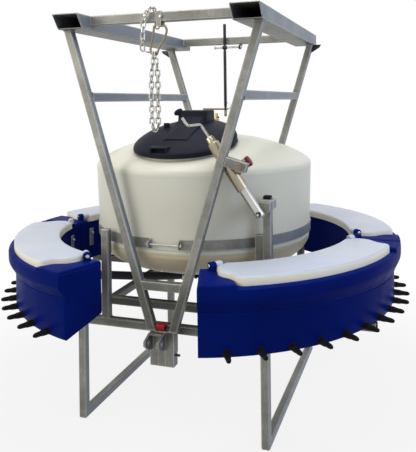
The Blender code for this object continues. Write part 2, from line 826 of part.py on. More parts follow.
def build_tank_fitting():
    """Brass air valve that stands on the tank's top behind the hatch."""
    base = Vector((FITTING_X, FITTING_Y, 0))
    r = hypot(FITTING_X, FITTING_Y) / TANK_R
    low = TANK_SHOULDER_Z + (TANK_TOP_Z - TANK_SHOULDER_Z) * (0.965 - (r - 0.28) / 0.24 * 0.135) + 0.001
    if r < 0.28:
        low = TANK_SHOULDER_Z + (TANK_TOP_Z - TANK_SHOULDER_Z) * (1.0 - 0.035 * r / 0.28) + 0.001
    profile = [
        (0, FITTING_TOP_Z),
        (0.008, FITTING_TOP_Z),
        (0.008, FITTING_TOP_Z - 0.030),
        (0.017, FITTING_TOP_Z - 0.034),
        (0.017, FITTING_TOP_Z - 0.056),
        (0.011, FITTING_TOP_Z - 0.060),
        (0.011, low + 0.012),
        (0.022, low + 0.010),
        (0.022, low + 0.0024),
        (0, low + 0.0024),
    ]
    turned("tank_fitting", profile, "brass", Matrix.Translation(base), steps=12)


def band_radius():
    """Inner radius of the band, whose flat facets clear the tank's wall."""
    return tank_radius(BAND_Z + BAND_HEIGHT / 2) / cos(pi / 2 / BAND_STEPS) + RUNNING


def band_half(name, start, end, ear_angles):
    """Half of the tank's band, with a bolting ear at each end that stands out from the tank."""
    low, high = BAND_Z - BAND_HEIGHT / 2, BAND_Z + BAND_HEIGHT / 2
    r = band_radius()
    outline = [(r, low), (r + BAND_THICKNESS, low), (r + BAND_THICKNESS, high), (r, high)]
    band = swept(name, outline, start, end, BAND_STEPS, "galvanised")
    ears, holes = [], []
    for angle, inward in ear_angles:
        out = around(angle, 1, 0)
        along = around(angle + pi / 2, 1, 0) * inward
        corner = around(angle, r + 0.001, low + 0.002) + along * 0.0006
        to_world = Matrix.Identity(4)
        to_world.col[0] = (*out, 0)
        to_world.col[1] = (0, 0, 1, 0)
        to_world.col[2] = (*along, 0)
        to_world.col[3] = (*corner, 1)
        tall = BAND_HEIGHT - 0.004
        outline = [(0, 0), (BAND_EAR, 0.006), (BAND_EAR, tall - 0.006), (0, tall)]
        ears.append(plate(f"{name}_ear_{degrees(angle):.0f}", outline, to_world, 0.006, "galvanised"))
        middle = around(angle, r + 0.020, BAND_Z)
        if abs(angle) < 1:
            reach = along * 0.03
            holes.append(
                rod(
                    f"{name}_hole",
                    middle - reach,
                    middle + reach,
                    TENSIONER_R + RUNNING * 2,
                    "galvanised",
                    sides=12,
                )
            )
    combine(band, ears, "UNION")
    combine(band, holes, "DIFFERENCE")


def build_band():
    band_half(
        "band_left",
        -pi + BAND_REAR_HALF_GAP,
        BAND_LEFT_ANGLE,
        ((BAND_LEFT_ANGLE, -1), (-pi + BAND_REAR_HALF_GAP, 1)),
    )
    band_half(
        "band_right",
        BAND_RIGHT_ANGLE,
        pi - BAND_REAR_HALF_GAP,
        ((BAND_RIGHT_ANGLE, 1), (pi - BAND_REAR_HALF_GAP, -1)),
    )
    r = band_radius() + 0.020
    left, right = around(BAND_LEFT_ANGLE, r, BAND_Z), around(BAND_RIGHT_ANGLE, r, BAND_Z)
    along = (right - left).normalized()
    ear = 0.0066 + GAP
    bolt = rod("band_tensioner", left - along * 0.024, right + along * 0.024, TENSIONER_R, "zinc", sides=12)
    nuts = []
    for place, way in ((left, -1), (right, 1)):
        start = place + along * way * (ear + 0.0012)
        nuts.append(
            rod(
                f"tension_nut_{way}",
                start,
                start + along * way * TENSIONER_NUT,
                TENSIONER_NUT_R,
                "zinc",
                sides=6,
            ),
        )
    combine(bolt, nuts, "UNION")


def build_outlet():
    """A four-way valve body under the tank, its quarter-turn lever and a hose to each trough."""
    body = rod("outlet_valve", (0, 0, VALVE_LOW_Z), (0, 0, VALVE_TOP_Z), VALVE_R, "black_plastic", sides=20)
    pieces = [
        rod(
            "valve_stem",
            (0, 0, VALVE_LOW_Z + 0.01),
            (0, 0, VALVE_LOW_Z - STEM_LENGTH),
            STEM_R,
            "black_plastic",
            sides=12,
        ),
    ]
    for index, angle in enumerate(hose_angles()):
        start, end = around(angle, 0.01, FEED_Z), around(angle, SPIGOT_REACH, FEED_Z)
        pieces.append(rod(f"valve_spigot_{index}", start, end, SPIGOT_R, "black_plastic", sides=12))
    combine(body, pieces, "UNION")
    hub_z = VALVE_LOW_Z - STEM_LENGTH + 0.006
    hub = rod(
        "valve_handle",
        (0, 0, hub_z),
        (0, 0, hub_z + 0.018),
        0.018,
        "red_plastic",
        sides=16,
        origin=(0, 0, hub_z),
    )
    low, high = (-0.009, -VALVE_LEVER, hub_z + 0.004), (0.009, -0.004, hub_z + 0.013)
    combine(hub, [box("valve_grip", low, high, "red_plastic", 0.002)], "UNION")
    combine(
        hub,
        [
            rod(
                "valve_bore",
                (0, 0, hub_z - 0.02),
                (0, 0, hub_z + 0.04),
                STEM_R + RUNNING,
                "red_plastic",
                sides=12,
            ),
        ],
        "DIFFERENCE",
    )
    names = ("front_right_hose", "front_left_hose", "rear_left_hose", "rear_right_hose")
    for name, angle in zip(names, hose_angles()):
        start_r, end_r = SPIGOT_REACH + GAP, TROUGH_INNER_R * cos(trough_facet() / 2) - GAP
        length = end_r - start_r
        points = []
        for share, rise in ((0, 0), (0.08, 0), (0.32, 0.2), (0.68, 0.8), (0.92, 1), (1, 1)):
            points.append(around(angle, start_r + length * share, FEED_Z + (HOSE_END_Z - FEED_Z) * rise))
        hose = curve_object(name, points, HOSE_R, "black_rubber", sides=1)
        couplings = []
        for index, (share, z) in enumerate(((0.04, FEED_Z), (0.96, HOSE_END_Z))):
            middle = around(angle, start_r + length * share, z)
            out = around(angle, 1, 0)
            couplings.append(
                rod(
                    f"{name}_clamp_{index}",
                    middle - out * 0.008,
                    middle + out * 0.008,
                    HOSE_R + 0.006,
                    "black_rubber",
                    sides=12,
                )
            )
        combine(hose, couplings, "UNION")


def trough_facet():
    """Angle of one flat facet of a trough's walls."""
    return (trough_last_angle() - TROUGH_FIRST_ANGLE) / TROUGH_STEPS


def hose_angles():
    """Each hose meets its trough square on the middle of a facet."""
    angle = TROUGH_FIRST_ANGLE + trough_facet() * (HOSE_FACET + 0.5)
    return (angle, -angle, angle - pi, pi - angle)


def trough_last_angle():
    """The side end of a front trough, just short of the seam with the rear one."""
    return pi / 2 - TROUGH_SEAM_HALF_GAP / TROUGH_OUTER_R


def trough_middle():
    return (TROUGH_FIRST_ANGLE + trough_last_angle()) / 2


def lug_point(end):
    """Centre of a lid's hinge at the first or last end of a trough."""
    angle = TROUGH_FIRST_ANGLE + LUG_ANGLE if end == 0 else trough_last_angle() - LUG_ANGLE
    return around(angle, LUG_R, hinge_z())


def hinge_z():
    return TROUGH_DECK_Z + LUG_NECK


def trough_outer_profile():
    """Section of the moulding: sloping floor, lower wall, flare and rim."""
    corner = TROUGH_CORNER
    return [
        (TROUGH_INNER_R, TROUGH_RIM_Z),
        (TROUGH_INNER_R, TROUGH_INNER_LOW_Z),
        (TROUGH_LOWER_R - corner, TROUGH_OUTER_LOW_Z),
        (TROUGH_LOWER_R, TROUGH_OUTER_LOW_Z + corner),
        (TROUGH_LOWER_R, TROUGH_FLARE_LOW_Z),
        (TROUGH_OUTER_R, TROUGH_FLARE_TOP_Z),
        (TROUGH_OUTER_R, TROUGH_RIM_Z - 0.010),
        (TROUGH_OUTER_R - 0.007, TROUGH_RIM_Z),
    ]


def inner_line(r):
    """Top of the floor inside at a radius."""
    return trough_floor_z(r) + TROUGH_WALL * 1.05


def build_trough():
    """The front right trough: one moulding with compartments, end decks, hinge lugs and teats."""
    first, last = TROUGH_FIRST_ANGLE, trough_last_angle()
    trough = swept("front_right_trough", trough_outer_profile(), first, last, TROUGH_STEPS, "navy_plastic")
    wall = TROUGH_WALL
    inner, lower = TROUGH_INNER_R + wall, TROUGH_LOWER_R - wall
    upper = TROUGH_OUTER_R - wall - 0.004
    end_wall = wall / TROUGH_INNER_R
    space_top = TROUGH_RIM_Z - 0.020
    space = [
        (inner, space_top),
        (inner, DIVIDER_TOP_Z),
        (TROUGH_LOWER_R + 0.012, DIVIDER_TOP_Z),
        (upper, TROUGH_FLARE_TOP_Z + 0.006),
        (upper, space_top),
    ]
    hall = swept("trough_hall", space, first + end_wall, last - end_wall, TROUGH_STEPS, "navy_plastic")
    opening = [
        (inner + 0.002, TROUGH_RIM_Z + 0.02),
        (inner + 0.002, space_top - 0.004),
        (TROUGH_LOWER_R - 0.030, space_top - 0.004),
        (TROUGH_LOWER_R - 0.030, TROUGH_RIM_Z + 0.02),
    ]
    deck_end = DECK_ANGLE + DECK_FLARE_ANGLE + radians(1.0)
    mouth = swept(
        "trough_mouth", opening, first + deck_end, last - deck_end, TROUGH_STEPS - 2, "navy_plastic"
    )
    cell = [
        (inner, DIVIDER_TOP_Z + 0.004),
        (inner, inner_line(inner)),
        (lower, inner_line(lower)),
        (lower, DIVIDER_TOP_Z + 0.004),
    ]
    cutters = [hall, mouth]
    half_cell = TEAT_PITCH_ANGLE / 2 - DIVIDER_WALL / 2 / TROUGH_INNER_R
    shells = []
    for index in range(TEATS_PER_TROUGH):
        centre = TEAT_FIRST_ANGLE + index * TEAT_PITCH_ANGLE
        start = max(centre - half_cell, first + end_wall * 1.3)
        end = min(centre + half_cell, last - end_wall * 1.3)
        shells.append(swept(f"cell_{index}", cell, start, end, 1, "navy_plastic"))
    cutters.append(merge("trough_cells", shells, "navy_plastic"))
    decks = [deck("deck_first", first, 1), deck("deck_last", last, -1)]
    lugs = [hinge_lug(0), hinge_lug(1)]
    teats = merge("trough_teats", [teat(index) for index in range(TEATS_PER_TROUGH)], "black_rubber")
    combine(trough, decks, "UNION")
    combine(trough, cutters, "DIFFERENCE")
    combine(trough, [*lugs, teats], "UNION")
    mirrored(trough, "front_left_trough", about_x=True)
    rear = mirrored(trough, "rear_right_trough", about_x=False)
    mirrored(rear, "rear_left_trough", about_x=True)


def merge(name, objects, finish):
    """Separate shells in one helper mesh."""
    bm = bmesh.new()
    for obj in objects:
        bm.from_mesh(obj.data)
        bpy.data.objects.remove(obj, do_unlink=True)
    return mesh_object(name, bm, finish)


def deck_edge(share, way, end):
    """Angle of the S-shaped line between an end deck and the lid, from the inner wall (0) to the rim (1)."""
    bend = 1 / (1 + 2.718281828 ** (-(share - 0.62) * 13))
    return end + way * (DECK_ANGLE + 0.0055 + DECK_FLARE_ANGLE * bend)


def deck(name, end, way):
    """The raised end of a trough, from its end face to the S-shaped edge of the lid."""
    inner, outer = TROUGH_INNER_R + 0.004, TROUGH_OUTER_R - 0.010
    count = 7
    outline = []
    for index in range(count):
        share = index / (count - 1)
        r = inner + (outer - inner) * share
        angle = deck_edge(share, way, end) - way * 0.004
        outline.append(around(angle, r, 0))
    rim_steps = 2
    near = end + way * 0.002
    outer_angle = deck_edge(1.0, way, end) - way * 0.004
    for index in range(1, rim_steps + 1):
        outline.append(around(outer_angle + (near - outer_angle) * index / rim_steps, outer, 0))
    inner_angle = deck_edge(0.0, way, end) - way * 0.004
    for index in range(rim_steps):
        outline.append(around(near + (inner_angle - near) * index / rim_steps, inner, 0))
    flat = [(point.x, point.y) for point in outline]
    low = TROUGH_RIM_Z - 0.012
    return plate(name, flat, Matrix.Translation((0, 0, low)), TROUGH_DECK_Z - low, "navy_plastic")


def hinge_line():
    start, end = lug_point(0), lug_point(1)
    return start, end, (end - start).normalized()


def hinge_lug(end):
    """A round lug on a foot, with a stub pin that enters the lid's knuckle."""
    start, finish, along = hinge_line()
    centre, inward = (start, along) if end == 0 else (finish, -along)
    outer_end = centre - inward * LUG_LENGTH / 2
    inner_end = centre + inward * LUG_LENGTH / 2
    barrel = rod(f"lug_barrel_{end}", outer_end, inner_end, LUG_RADIUS, "navy_plastic", sides=12)
    long, wide = LUG_LENGTH - 0.003, LUG_RADIUS * 1.86
    foot = plate_between(f"lug_foot_{end}", centre, along, long, wide, TROUGH_DECK_Z - 0.006, centre.z)
    pin_start = centre - inward * (LUG_LENGTH / 2 + 0.006)
    pin_end = inner_end + inward * (KNUCKLE_GAP + KNUCKLE_LENGTH * 0.8)
    pin = rod(f"lug_pin_{end}", pin_start, pin_end, HINGE_PIN_R, "zinc", sides=8)
    combine(barrel, [foot, pin], "UNION")
    return flatten(barrel)


def plate_between(name, centre, along, length, width, low, high):
    """An upright block along a direction, centred under a point."""
    across = Vector((-along.y, along.x, 0))
    corners = []
    for a, b in ((-1, -1), (1, -1), (1, 1), (-1, 1)):
        point = centre + along * (a * length / 2) + across * (b * width / 2)
        corners.append((point.x, point.y))
    return plate(name, corners, Matrix.Translation((0, 0, low)), high - low, "navy_plastic")


def flatten(obj):
    """The object with its modifiers applied, ready to be a cutter or to be joined."""
    bpy.context.view_layer.update()
    graph = bpy.context.evaluated_depsgraph_get()
    mesh = bpy.data.meshes.new_from_object(obj.evaluated_get(graph))
    made = bpy.data.objects.new(obj.name + "_joined", mesh)
    made.matrix_world = obj.matrix_world
    PARTS.objects.link(made)
    bpy.data.objects.remove(obj, do_unlink=True)
    return made


def teat(index):
    """A rubber teat that stands out of the lower wall, drooping a little."""
    angle = TEAT_FIRST_ANGLE + index * TEAT_PITCH_ANGLE
    root = around(angle, TROUGH_LOWER_R - 0.003, TEAT_Z)
    out = around(angle, 1, 0) * cos(TEAT_DROOP) - Z_AXIS * sin(TEAT_DROOP)
    matrix = Matrix.Translation(root) @ out.to_track_quat("Z", "Y").to_matrix().to_4x4()
    profile = [
        (0, TEAT_LENGTH),
        (TEAT_TIP_R, TEAT_LENGTH),
        (TEAT_BULB_R, TEAT_LENGTH * 0.80),
        (TEAT_BASE_R, 0.0),
        (0, 0),
    ]
    return turned(f"teat_{index}", profile, "black_rubber", matrix, steps=TEAT_SIDES)


def lid_outline():
    """Plan of the front right lid: two arcs joined by S-shaped ends that clear the decks."""
    first, last = TROUGH_FIRST_ANGLE, trough_last_angle()
    inner, outer = LID_INNER_R, LID_OUTER_R
    ends = []
    for end, way in ((first, 1), (last, -1)):
        points = []
        count = 7
        for index in range(count):
            r = (LUG_R + 0.012) + (outer - LUG_R - 0.012) * index / (count - 1)
            share = (r - TROUGH_INNER_R) / (TROUGH_OUTER_R - 0.007 - TROUGH_INNER_R)
            points.append(around(deck_edge(share, way, end), r, 0))
        ends.append(points)
    arc_start = atan2(ends[0][-1].x, -ends[0][-1].y)
    arc_end = atan2(ends[1][-1].x, -ends[1][-1].y)
    steps = 8
    arc = [around(arc_start + (arc_end - arc_start) * i / steps, outer, 0) for i in range(1, steps)]
    in_start, in_end = first + LUG_ANGLE + radians(4.4), last - LUG_ANGLE - radians(4.4)
    inside = [around(in_end + (in_start - in_end) * i / steps, inner, 0) for i in range(steps + 1)]
    return [(p.x, p.y) for p in (*ends[0], *arc, *reversed(ends[1]), *inside)]


def build_lids():
    """Four lids, each hinged on the stub pins of its trough's lugs."""
    start, end, along = hinge_line()
    low = TROUGH_RIM_Z + LID_SEAT_GAP
    lid = plate(
        "front_right_lid",
        lid_outline(),
        Matrix.Translation((0, 0, low)),
        LID_THICKNESS,
        "white_plastic",
        origin=start,
    )
    soften(lid, LID_EDGE)
    knuckles = []
    for index, (point, inward) in enumerate(((start, along), (end, -along))):
        near = point + inward * (LUG_LENGTH / 2 + KNUCKLE_GAP)
        knuckles.append(
            rod(
                f"lid_knuckle_{index}",
                near,
                near + inward * KNUCKLE_LENGTH,
                KNUCKLE_RADIUS,
                "white_plastic",
                sides=12,
            ),
        )
    bores = []
    for index, (point, inward) in enumerate(((start, along), (end, -along))):
        far = point + inward * (LUG_LENGTH / 2 + KNUCKLE_GAP + KNUCKLE_LENGTH * 0.9)
        bores.append(rod(f"lid_bore_{index}", point, far, HINGE_PIN_R + RUNNING, "white_plastic", sides=8))
    pockets = []
    for index, (point, inward) in enumerate(((start, along), (end, -along))):
        reach = LUG_LENGTH / 2 + KNUCKLE_GAP * 0.75
        pockets.append(
            rod(
                f"lid_pocket_{index}",
                point - inward * 0.05,
                point + inward * reach,
                LUG_RADIUS + 0.0012,
                "white_plastic",
                sides=12,
            ),
        )
    combine(lid, knuckles, "UNION")
    combine(lid, pockets + bores, "DIFFERENCE")
    mirrored(lid, "front_left_lid", about_x=True)
    rear = mirrored(lid, "rear_right_lid", about_x=False)
    mirrored(rear, "rear_left_lid", about_x=True)


def leg_x(z):
    """Centre line of a V leg at a height."""
    return LEG_LOW_X + (LEG_TOP_X - LEG_LOW_X) * (z - LEG_LOW_Z) / (POCKET_LOW_Z - LEG_LOW_Z)


def leg_half():
    """Half of a leg's width along X, wider than the tube because the leg leans."""
    lean = atan2(LEG_TOP_X - LEG_LOW_X, POCKET_LOW_Z - LEG_LOW_Z)
    return TUBE / 2 / cos(lean)


def cradle_planes():
    """Low y of the front and of the rear V."""
    return (("front", CRADLE_FRONT_Y), ("rear", CRADLE_REAR_Y - TUBE))


def build_cradle():
    """Two V frames, the tine pockets and crossbars on top of them, and the braces between them."""
    pocket_outer = POCKET_INNER_X + POCKET_WIDTH
    top = POCKET_LOW_Z + POCKET_HEIGHT
    for side, name in ((-1, "left_tine_pocket"), (1, "right_tine_pocket")):
        x0, x1 = sorted((side * POCKET_INNER_X, side * pocket_outer))
        outline = [
            (POCKET_FRONT_Y, POCKET_LOW_Z),
            (POCKET_REAR_Y, POCKET_LOW_Z),
            (POCKET_REAR_Y, top),
            (POCKET_FRONT_Y - POCKET_LIP, top),
        ]
        pocket = plate(name, outline, side_plane(x0), x1 - x0, "galvanised", TUBE_EDGE)
        wall = POCKET_WALL
        low = (x0 + wall, POCKET_FRONT_Y - 0.2, POCKET_LOW_Z + wall)
        combine(
            pocket,
            [box(name + "_bore", low, (x1 - wall, POCKET_REAR_Y + 0.2, top - wall), "galvanised")],
            "DIFFERENCE",
        )
    half = POCKET_INNER_X - GAP
    front_y = CRADLE_FRONT_Y + CROSSBAR_SET_BACK
    rear_y = CRADLE_REAR_Y - CROSSBAR_SET_BACK - CROSSBAR_DEPTH
    for name, y0 in (("front_crossbar", front_y), ("rear_crossbar", rear_y)):
        low = (-half, y0, CROSSBAR_TOP_Z - CROSSBAR_HEIGHT)
        high = (half, y0 + CROSSBAR_DEPTH, CROSSBAR_TOP_Z)
        bar = box(name, low, high, "galvanised", TUBE_EDGE)
        if name == "front_crossbar":
            combine(bar, [strap(y0)], "UNION")
    for end, y0 in cradle_planes():
        build_v(end, y0)
    build_braces()


def strap(y0):
    """A flat strap welded round the crossbar, with an eye below it for the hook."""
    y1 = y0 + CROSSBAR_DEPTH
    thick, sunk = STRAP_THICKNESS, 0.001
    under = CROSSBAR_TOP_Z - CROSSBAR_HEIGHT
    low = under - STRAP_EYE
    outline = [
        (y0 - thick, low - thick),
        (y1 + thick, low - thick),
        (y1 + thick, CROSSBAR_TOP_Z + thick),
        (y0 - thick, CROSSBAR_TOP_Z + thick),
    ]
    x0 = STRAP_X - STRAP_WIDTH / 2
    loop = plate("strap", outline, side_plane(x0), STRAP_WIDTH, "galvanised")
    eye_low, eye_high = (x0 - 0.01, y0 + sunk, low), (x0 + STRAP_WIDTH + 0.01, y1 - sunk, under + sunk)
    combine(loop, [box("strap_eye", eye_low, eye_high, "galvanised")], "DIFFERENCE")
    return flatten(loop)


def build_v(end, y0):
    """One V: two legs, a tie low between them and the pivot block that their feet stand on."""
    top, foot = POCKET_LOW_Z - GAP, BLOCK_TOP_Z + GAP
    half = leg_half()
    for side, name in ((-1, "left"), (1, "right")):
        outline = [
            (side * (leg_x(foot) - half), foot),
            (side * (leg_x(foot) + half), foot),
            (side * (leg_x(top) + half), top),
            (side * (leg_x(top) - half), top),
        ]
        plate(f"{end}_{name}_leg", outline, upright_plane(y0), TUBE, "galvanised", TUBE_EDGE)
    low, high = TIE_LOW_Z, TIE_LOW_Z + TUBE
    outline = [
        (-(leg_x(low) - half) + GAP, low),
        (leg_x(low) - half - GAP, low),
        (leg_x(high) - half - GAP, high),
        (-(leg_x(high) - half) + GAP, high),
    ]
    plate(f"{end}_tie", outline, upright_plane(y0), TUBE, "galvanised", TUBE_EDGE / 2)
    pivot_block(end)


def pivot_block(end):
    """Short uprights welded side by side, with a blind bore for the pin, and hitch ears in front."""
    front = end == "front"
    outward = -1 if front else 1
    face = CRADLE_FRONT_Y if front else CRADLE_REAR_Y
    y0, y1 = sorted((face, face - outward * BLOCK_DEPTH))
    half = BLOCK_WIDTH / 2
    block = box(
        f"{end}_pivot_block", (-half, y0, BLOCK_LOW_Z), (half, y1, BLOCK_TOP_Z), "galvanised", TUBE_EDGE / 2
    )
    grooves = []
    for x in (-half / 3, half / 3):
        spot = Vector((x, face, 0))
        start, stop = spot + Z_AXIS * (BLOCK_LOW_Z - 0.01), spot + Z_AXIS * (BLOCK_TOP_Z + 0.01)
        grooves.append(rod(f"{end}_groove_{x:.2f}", start, stop, BLOCK_GROOVE, "galvanised", sides=4))
    inner = face - outward * BLOCK_DEPTH
    start = (0, inner - outward * 0.02, PIVOT_Z)
    stop = (0, inner + outward * PIVOT_BORE_DEPTH, PIVOT_Z)
    bore = rod(f"{end}_block_bore", start, stop, PIVOT_R + RUNNING, "galvanised", sides=16)
    keeper_y = face - outward * 0.020
    tip = half + 0.022
    pieces = [
        rod(
            f"{end}_keeper",
            (half - 0.01, keeper_y, KEEPER_Z),
            (tip, keeper_y, KEEPER_Z),
            KEEPER_R,
            "zinc",
            sides=8,
        ),
    ]
    if front:
        pieces += hitch_ears(face)
    combine(block, pieces, "UNION")
    combine(block, grooves + [bore], "DIFFERENCE")


def hitch_ears(face):
    """Two upright ears in front of the block, joined by a plate at their tops, with a hole for a drop pin."""
    ears = []
    for x in (EAR_LEFT_X, EAR_RIGHT_X):
        outline = [
            (face + 0.006, EAR_LOW_Z - 0.012),
            (face + 0.006, BLOCK_TOP_Z - 0.004),
            (face - EAR_REACH * 0.35, BLOCK_TOP_Z - 0.004),
            (face - EAR_REACH, BLOCK_TOP_Z - 0.024),
            (face - EAR_REACH, EAR_LOW_Z + 0.030),
            (face - EAR_REACH * 0.55, EAR_LOW_Z),
        ]
        ear = plate(f"hitch_ear_{x:.2f}", outline, side_plane(x), EAR_THICKNESS, "galvanised")
        spot = Vector((x, face - EAR_REACH * 0.60, (EAR_LOW_Z + BLOCK_TOP_Z) / 2))
        hole = rod(
            f"hitch_hole_{x:.2f}",
            spot - X_AXIS * 0.02,
            spot + X_AXIS * 0.03,
            EAR_HOLE_R,
            "galvanised",
            sides=24,
        )
        combine(ear, [hole], "DIFFERENCE")
        ears.append(flatten(ear))
    low = (EAR_LEFT_X + 0.002, face - EAR_REACH * 0.35, BLOCK_TOP_Z - 0.012)
    high = (EAR_RIGHT_X + EAR_THICKNESS - 0.002, face + 0.006, BLOCK_TOP_Z - 0.004)
    ears.append(box("hitch_top_plate", low, high, "galvanised"))
    return ears


def build_braces():
    """Side braces between the front and rear legs, and the red buffer between the front legs' feet."""
    low, high = BRACE_LOW_Z, BRACE_LOW_Z + BRACE_HEIGHT
    middle = leg_x((low + high) / 2)
    y0, y1 = CRADLE_FRONT_Y + TUBE + GAP, CRADLE_REAR_Y - TUBE - GAP
    for side, name in ((-1, "left_side_brace"), (1, "right_side_brace")):
        x0 = side * middle - TUBE / 2
        box(name, (x0, y0, low), (x0 + TUBE, y1, high), "galvanised", TUBE_EDGE)
    inner = leg_x(BLOCK_TOP_Z) - leg_half() - 0.001
    low = (-inner, CRADLE_FRONT_Y, BLOCK_TOP_Z + GAP)
    high = (inner * 0.35, CRADLE_FRONT_Y + TUBE, BLOCK_TOP_Z + 0.028)
    box("red_buffer", low, high, "red_plastic", 0.003)


def jack_axis():
    return Vector((-sin(JACK_LEAN), 0, cos(JACK_LEAN)))


def jack_across():
    return Vector((cos(JACK_LEAN), 0, sin(JACK_LEAN)))


def jack_point(along, across=0.0, y=JACK_Y):
    """A point on the jack, from the centre of its lower pin."""
    base = Vector((JACK_PIN_X, y, JACK_PIN_Z))
    return base + jack_axis() * along + jack_across() * across


def jack_frame(along):
    matrix = jack_axis().to_track_quat("Z", "Y").to_matrix().to_4x4()
    return Matrix.Translation(jack_point(along)) @ matrix


def build_jack():
    """The screw jack: a hollow outer tube with a swivel stub, a sliding ram, and a crank on its screw."""
    swivel = jack_point(SWIVEL_S, SWIVEL_OFFSET)
    bore = RAM_R + RUNNING
    start, end, head = JACK_TUBE_START, JACK_TUBE_END, JACK_HEAD_END
    screw_bore = CRANK_R + RUNNING
    profile = [
        (screw_bore, head - start),
        (JACK_HEAD_R - 0.003, head - start),
        (JACK_HEAD_R, head - start - 0.004),
        (JACK_HEAD_R, end - start),
        (JACK_TUBE_R, end - start - 0.002),
        (JACK_TUBE_R, 0),
        (bore, 0),
        (bore, end - start - 0.012),
        (screw_bore, end - start - 0.010),
        (screw_bore, head - start),
    ]
    tube = turned("jack_outer_tube", profile, "zinc", jack_frame(start), steps=20, origin=swivel)
    stub = rod(
        "jack_stub",
        jack_point(SWIVEL_S, bore + 0.002),
        jack_point(SWIVEL_S, SWIVEL_REACH),
        SWIVEL_R,
        "zinc",
        sides=16,
    )
    hole = rod(
        "jack_stub_hole",
        jack_point(SWIVEL_S, SWIVEL_OFFSET, JACK_Y - 0.05),
        jack_point(SWIVEL_S, SWIVEL_OFFSET, JACK_Y + 0.05),
        SWIVEL_PIN_R + RUNNING,
        "zinc",
        sides=16,
    )
    combine(tube, [stub], "UNION")
    combine(tube, [hole], "DIFFERENCE")
    build_ram()
    build_crank()
    build_jack_bracket()
    build_collar()


def build_ram():
    """The inner tube, open at the top for the screw, with a cross hole for the lower pin."""
    length = RAM_END - RAM_START
    inside = RAM_R - RAM_WALL
    profile = [
        (inside, length),
        (RAM_R, length),
        (RAM_R, 0),
        (0, 0),
        (0, 0.045),
        (inside, 0.045),
        (inside, length),
    ]
    ram = turned("jack_ram", profile, "zinc", jack_frame(RAM_START), steps=16, origin=jack_point(0))
    eye = rod(
        "ram_eye",
        jack_point(0, 0, JACK_Y - 0.05),
        jack_point(0, 0, JACK_Y + 0.05),
        JACK_EYE_R,
        "zinc",
        sides=16,
    )
    combine(ram, [eye], "DIFFERENCE")


def build_crank():
    """The screw's crank: a shaft out of the head, an arm towards the front and a grip with a round knob."""
    shaft_low = jack_point(JACK_TUBE_END - 0.005)
    root = jack_point(CRANK_SHAFT_END)
    elbow = root - Y_AXIS * CRANK_ARM
    grip = elbow + jack_axis() * CRANK_GRIP
    bend = 0.016
    points = [shaft_low, root - jack_axis() * bend]
    points += [root - jack_axis() * bend * 0.3 - Y_AXIS * bend * 0.3, root - Y_AXIS * bend]
    points += [
        elbow + Y_AXIS * bend,
        elbow + Y_AXIS * bend * 0.3 + jack_axis() * bend * 0.3,
        elbow + jack_axis() * bend,
    ]
    points.append(grip)
    crank = curve_object("crank_handle", points, CRANK_R, "zinc", sides=2)
    origin = jack_point(JACK_HEAD_END)
    crank.data.transform(Matrix.Translation(-origin))
    crank.location = origin
    turn = jack_axis().to_track_quat("Z", "Y").to_matrix().to_4x4()
    frame = Matrix.Translation(grip + jack_axis() * GAP) @ turn
    profile = [
        (0, KNOB_LENGTH),
        (KNOB_R * 0.62, KNOB_LENGTH - 0.002),
        (KNOB_R, KNOB_LENGTH - 0.010),
        (KNOB_R * 0.92, KNOB_LENGTH - 0.017),
        (KNOB_R * 0.45, KNOB_LENGTH - 0.022),
        (KNOB_R * 0.50, 0),
        (0, 0),
    ]
    turned("crank_knob", profile, "black_plastic", frame, steps=16, origin=origin)


def build_jack_bracket():
    """A short tube off the right leg, square to it, with the pin that the jack swings on."""
    lean = atan2(LEG_TOP_X - LEG_LOW_X, POCKET_LOW_Z - LEG_LOW_Z)
    out = Vector((cos(lean), 0, -sin(lean)))
    up = Vector((sin(lean), 0, cos(lean)))
    swivel = jack_point(SWIVEL_S, SWIVEL_OFFSET)
    leg_point = Vector((leg_x(swivel.z), 0, swivel.z))
    from_leg = (swivel - leg_point).dot(out) - TUBE / 2
    root = swivel - out * (from_leg - GAP)
    corners = []
    for a, b in ((0, -1), (1, -1), (1, 1), (0, 1)):
        point = root + out * (a * BRACKET_REACH) + up * (b * BRACKET_HEIGHT / 2)
        corners.append((point.x, point.z))
    bracket = plate(
        "jack_bracket", corners, upright_plane(CRADLE_FRONT_Y), TUBE, "galvanised", TUBE_EDGE / 2
    )
    y0 = CRADLE_FRONT_Y - 0.008
    pin = rod(
        "swivel_pin",
        (swivel.x, y0, swivel.z),
        (swivel.x, JACK_Y + 0.018, swivel.z),
        SWIVEL_PIN_R,
        "zinc",
        sides=16,
    )
    head = rod(
        "swivel_head",
        (swivel.x, y0 - 0.004, swivel.z),
        (swivel.x, CRADLE_FRONT_Y + 0.002, swivel.z),
        0.013,
        "zinc",
        sides=12,
    )
    combine(bracket, [pin, head], "UNION")


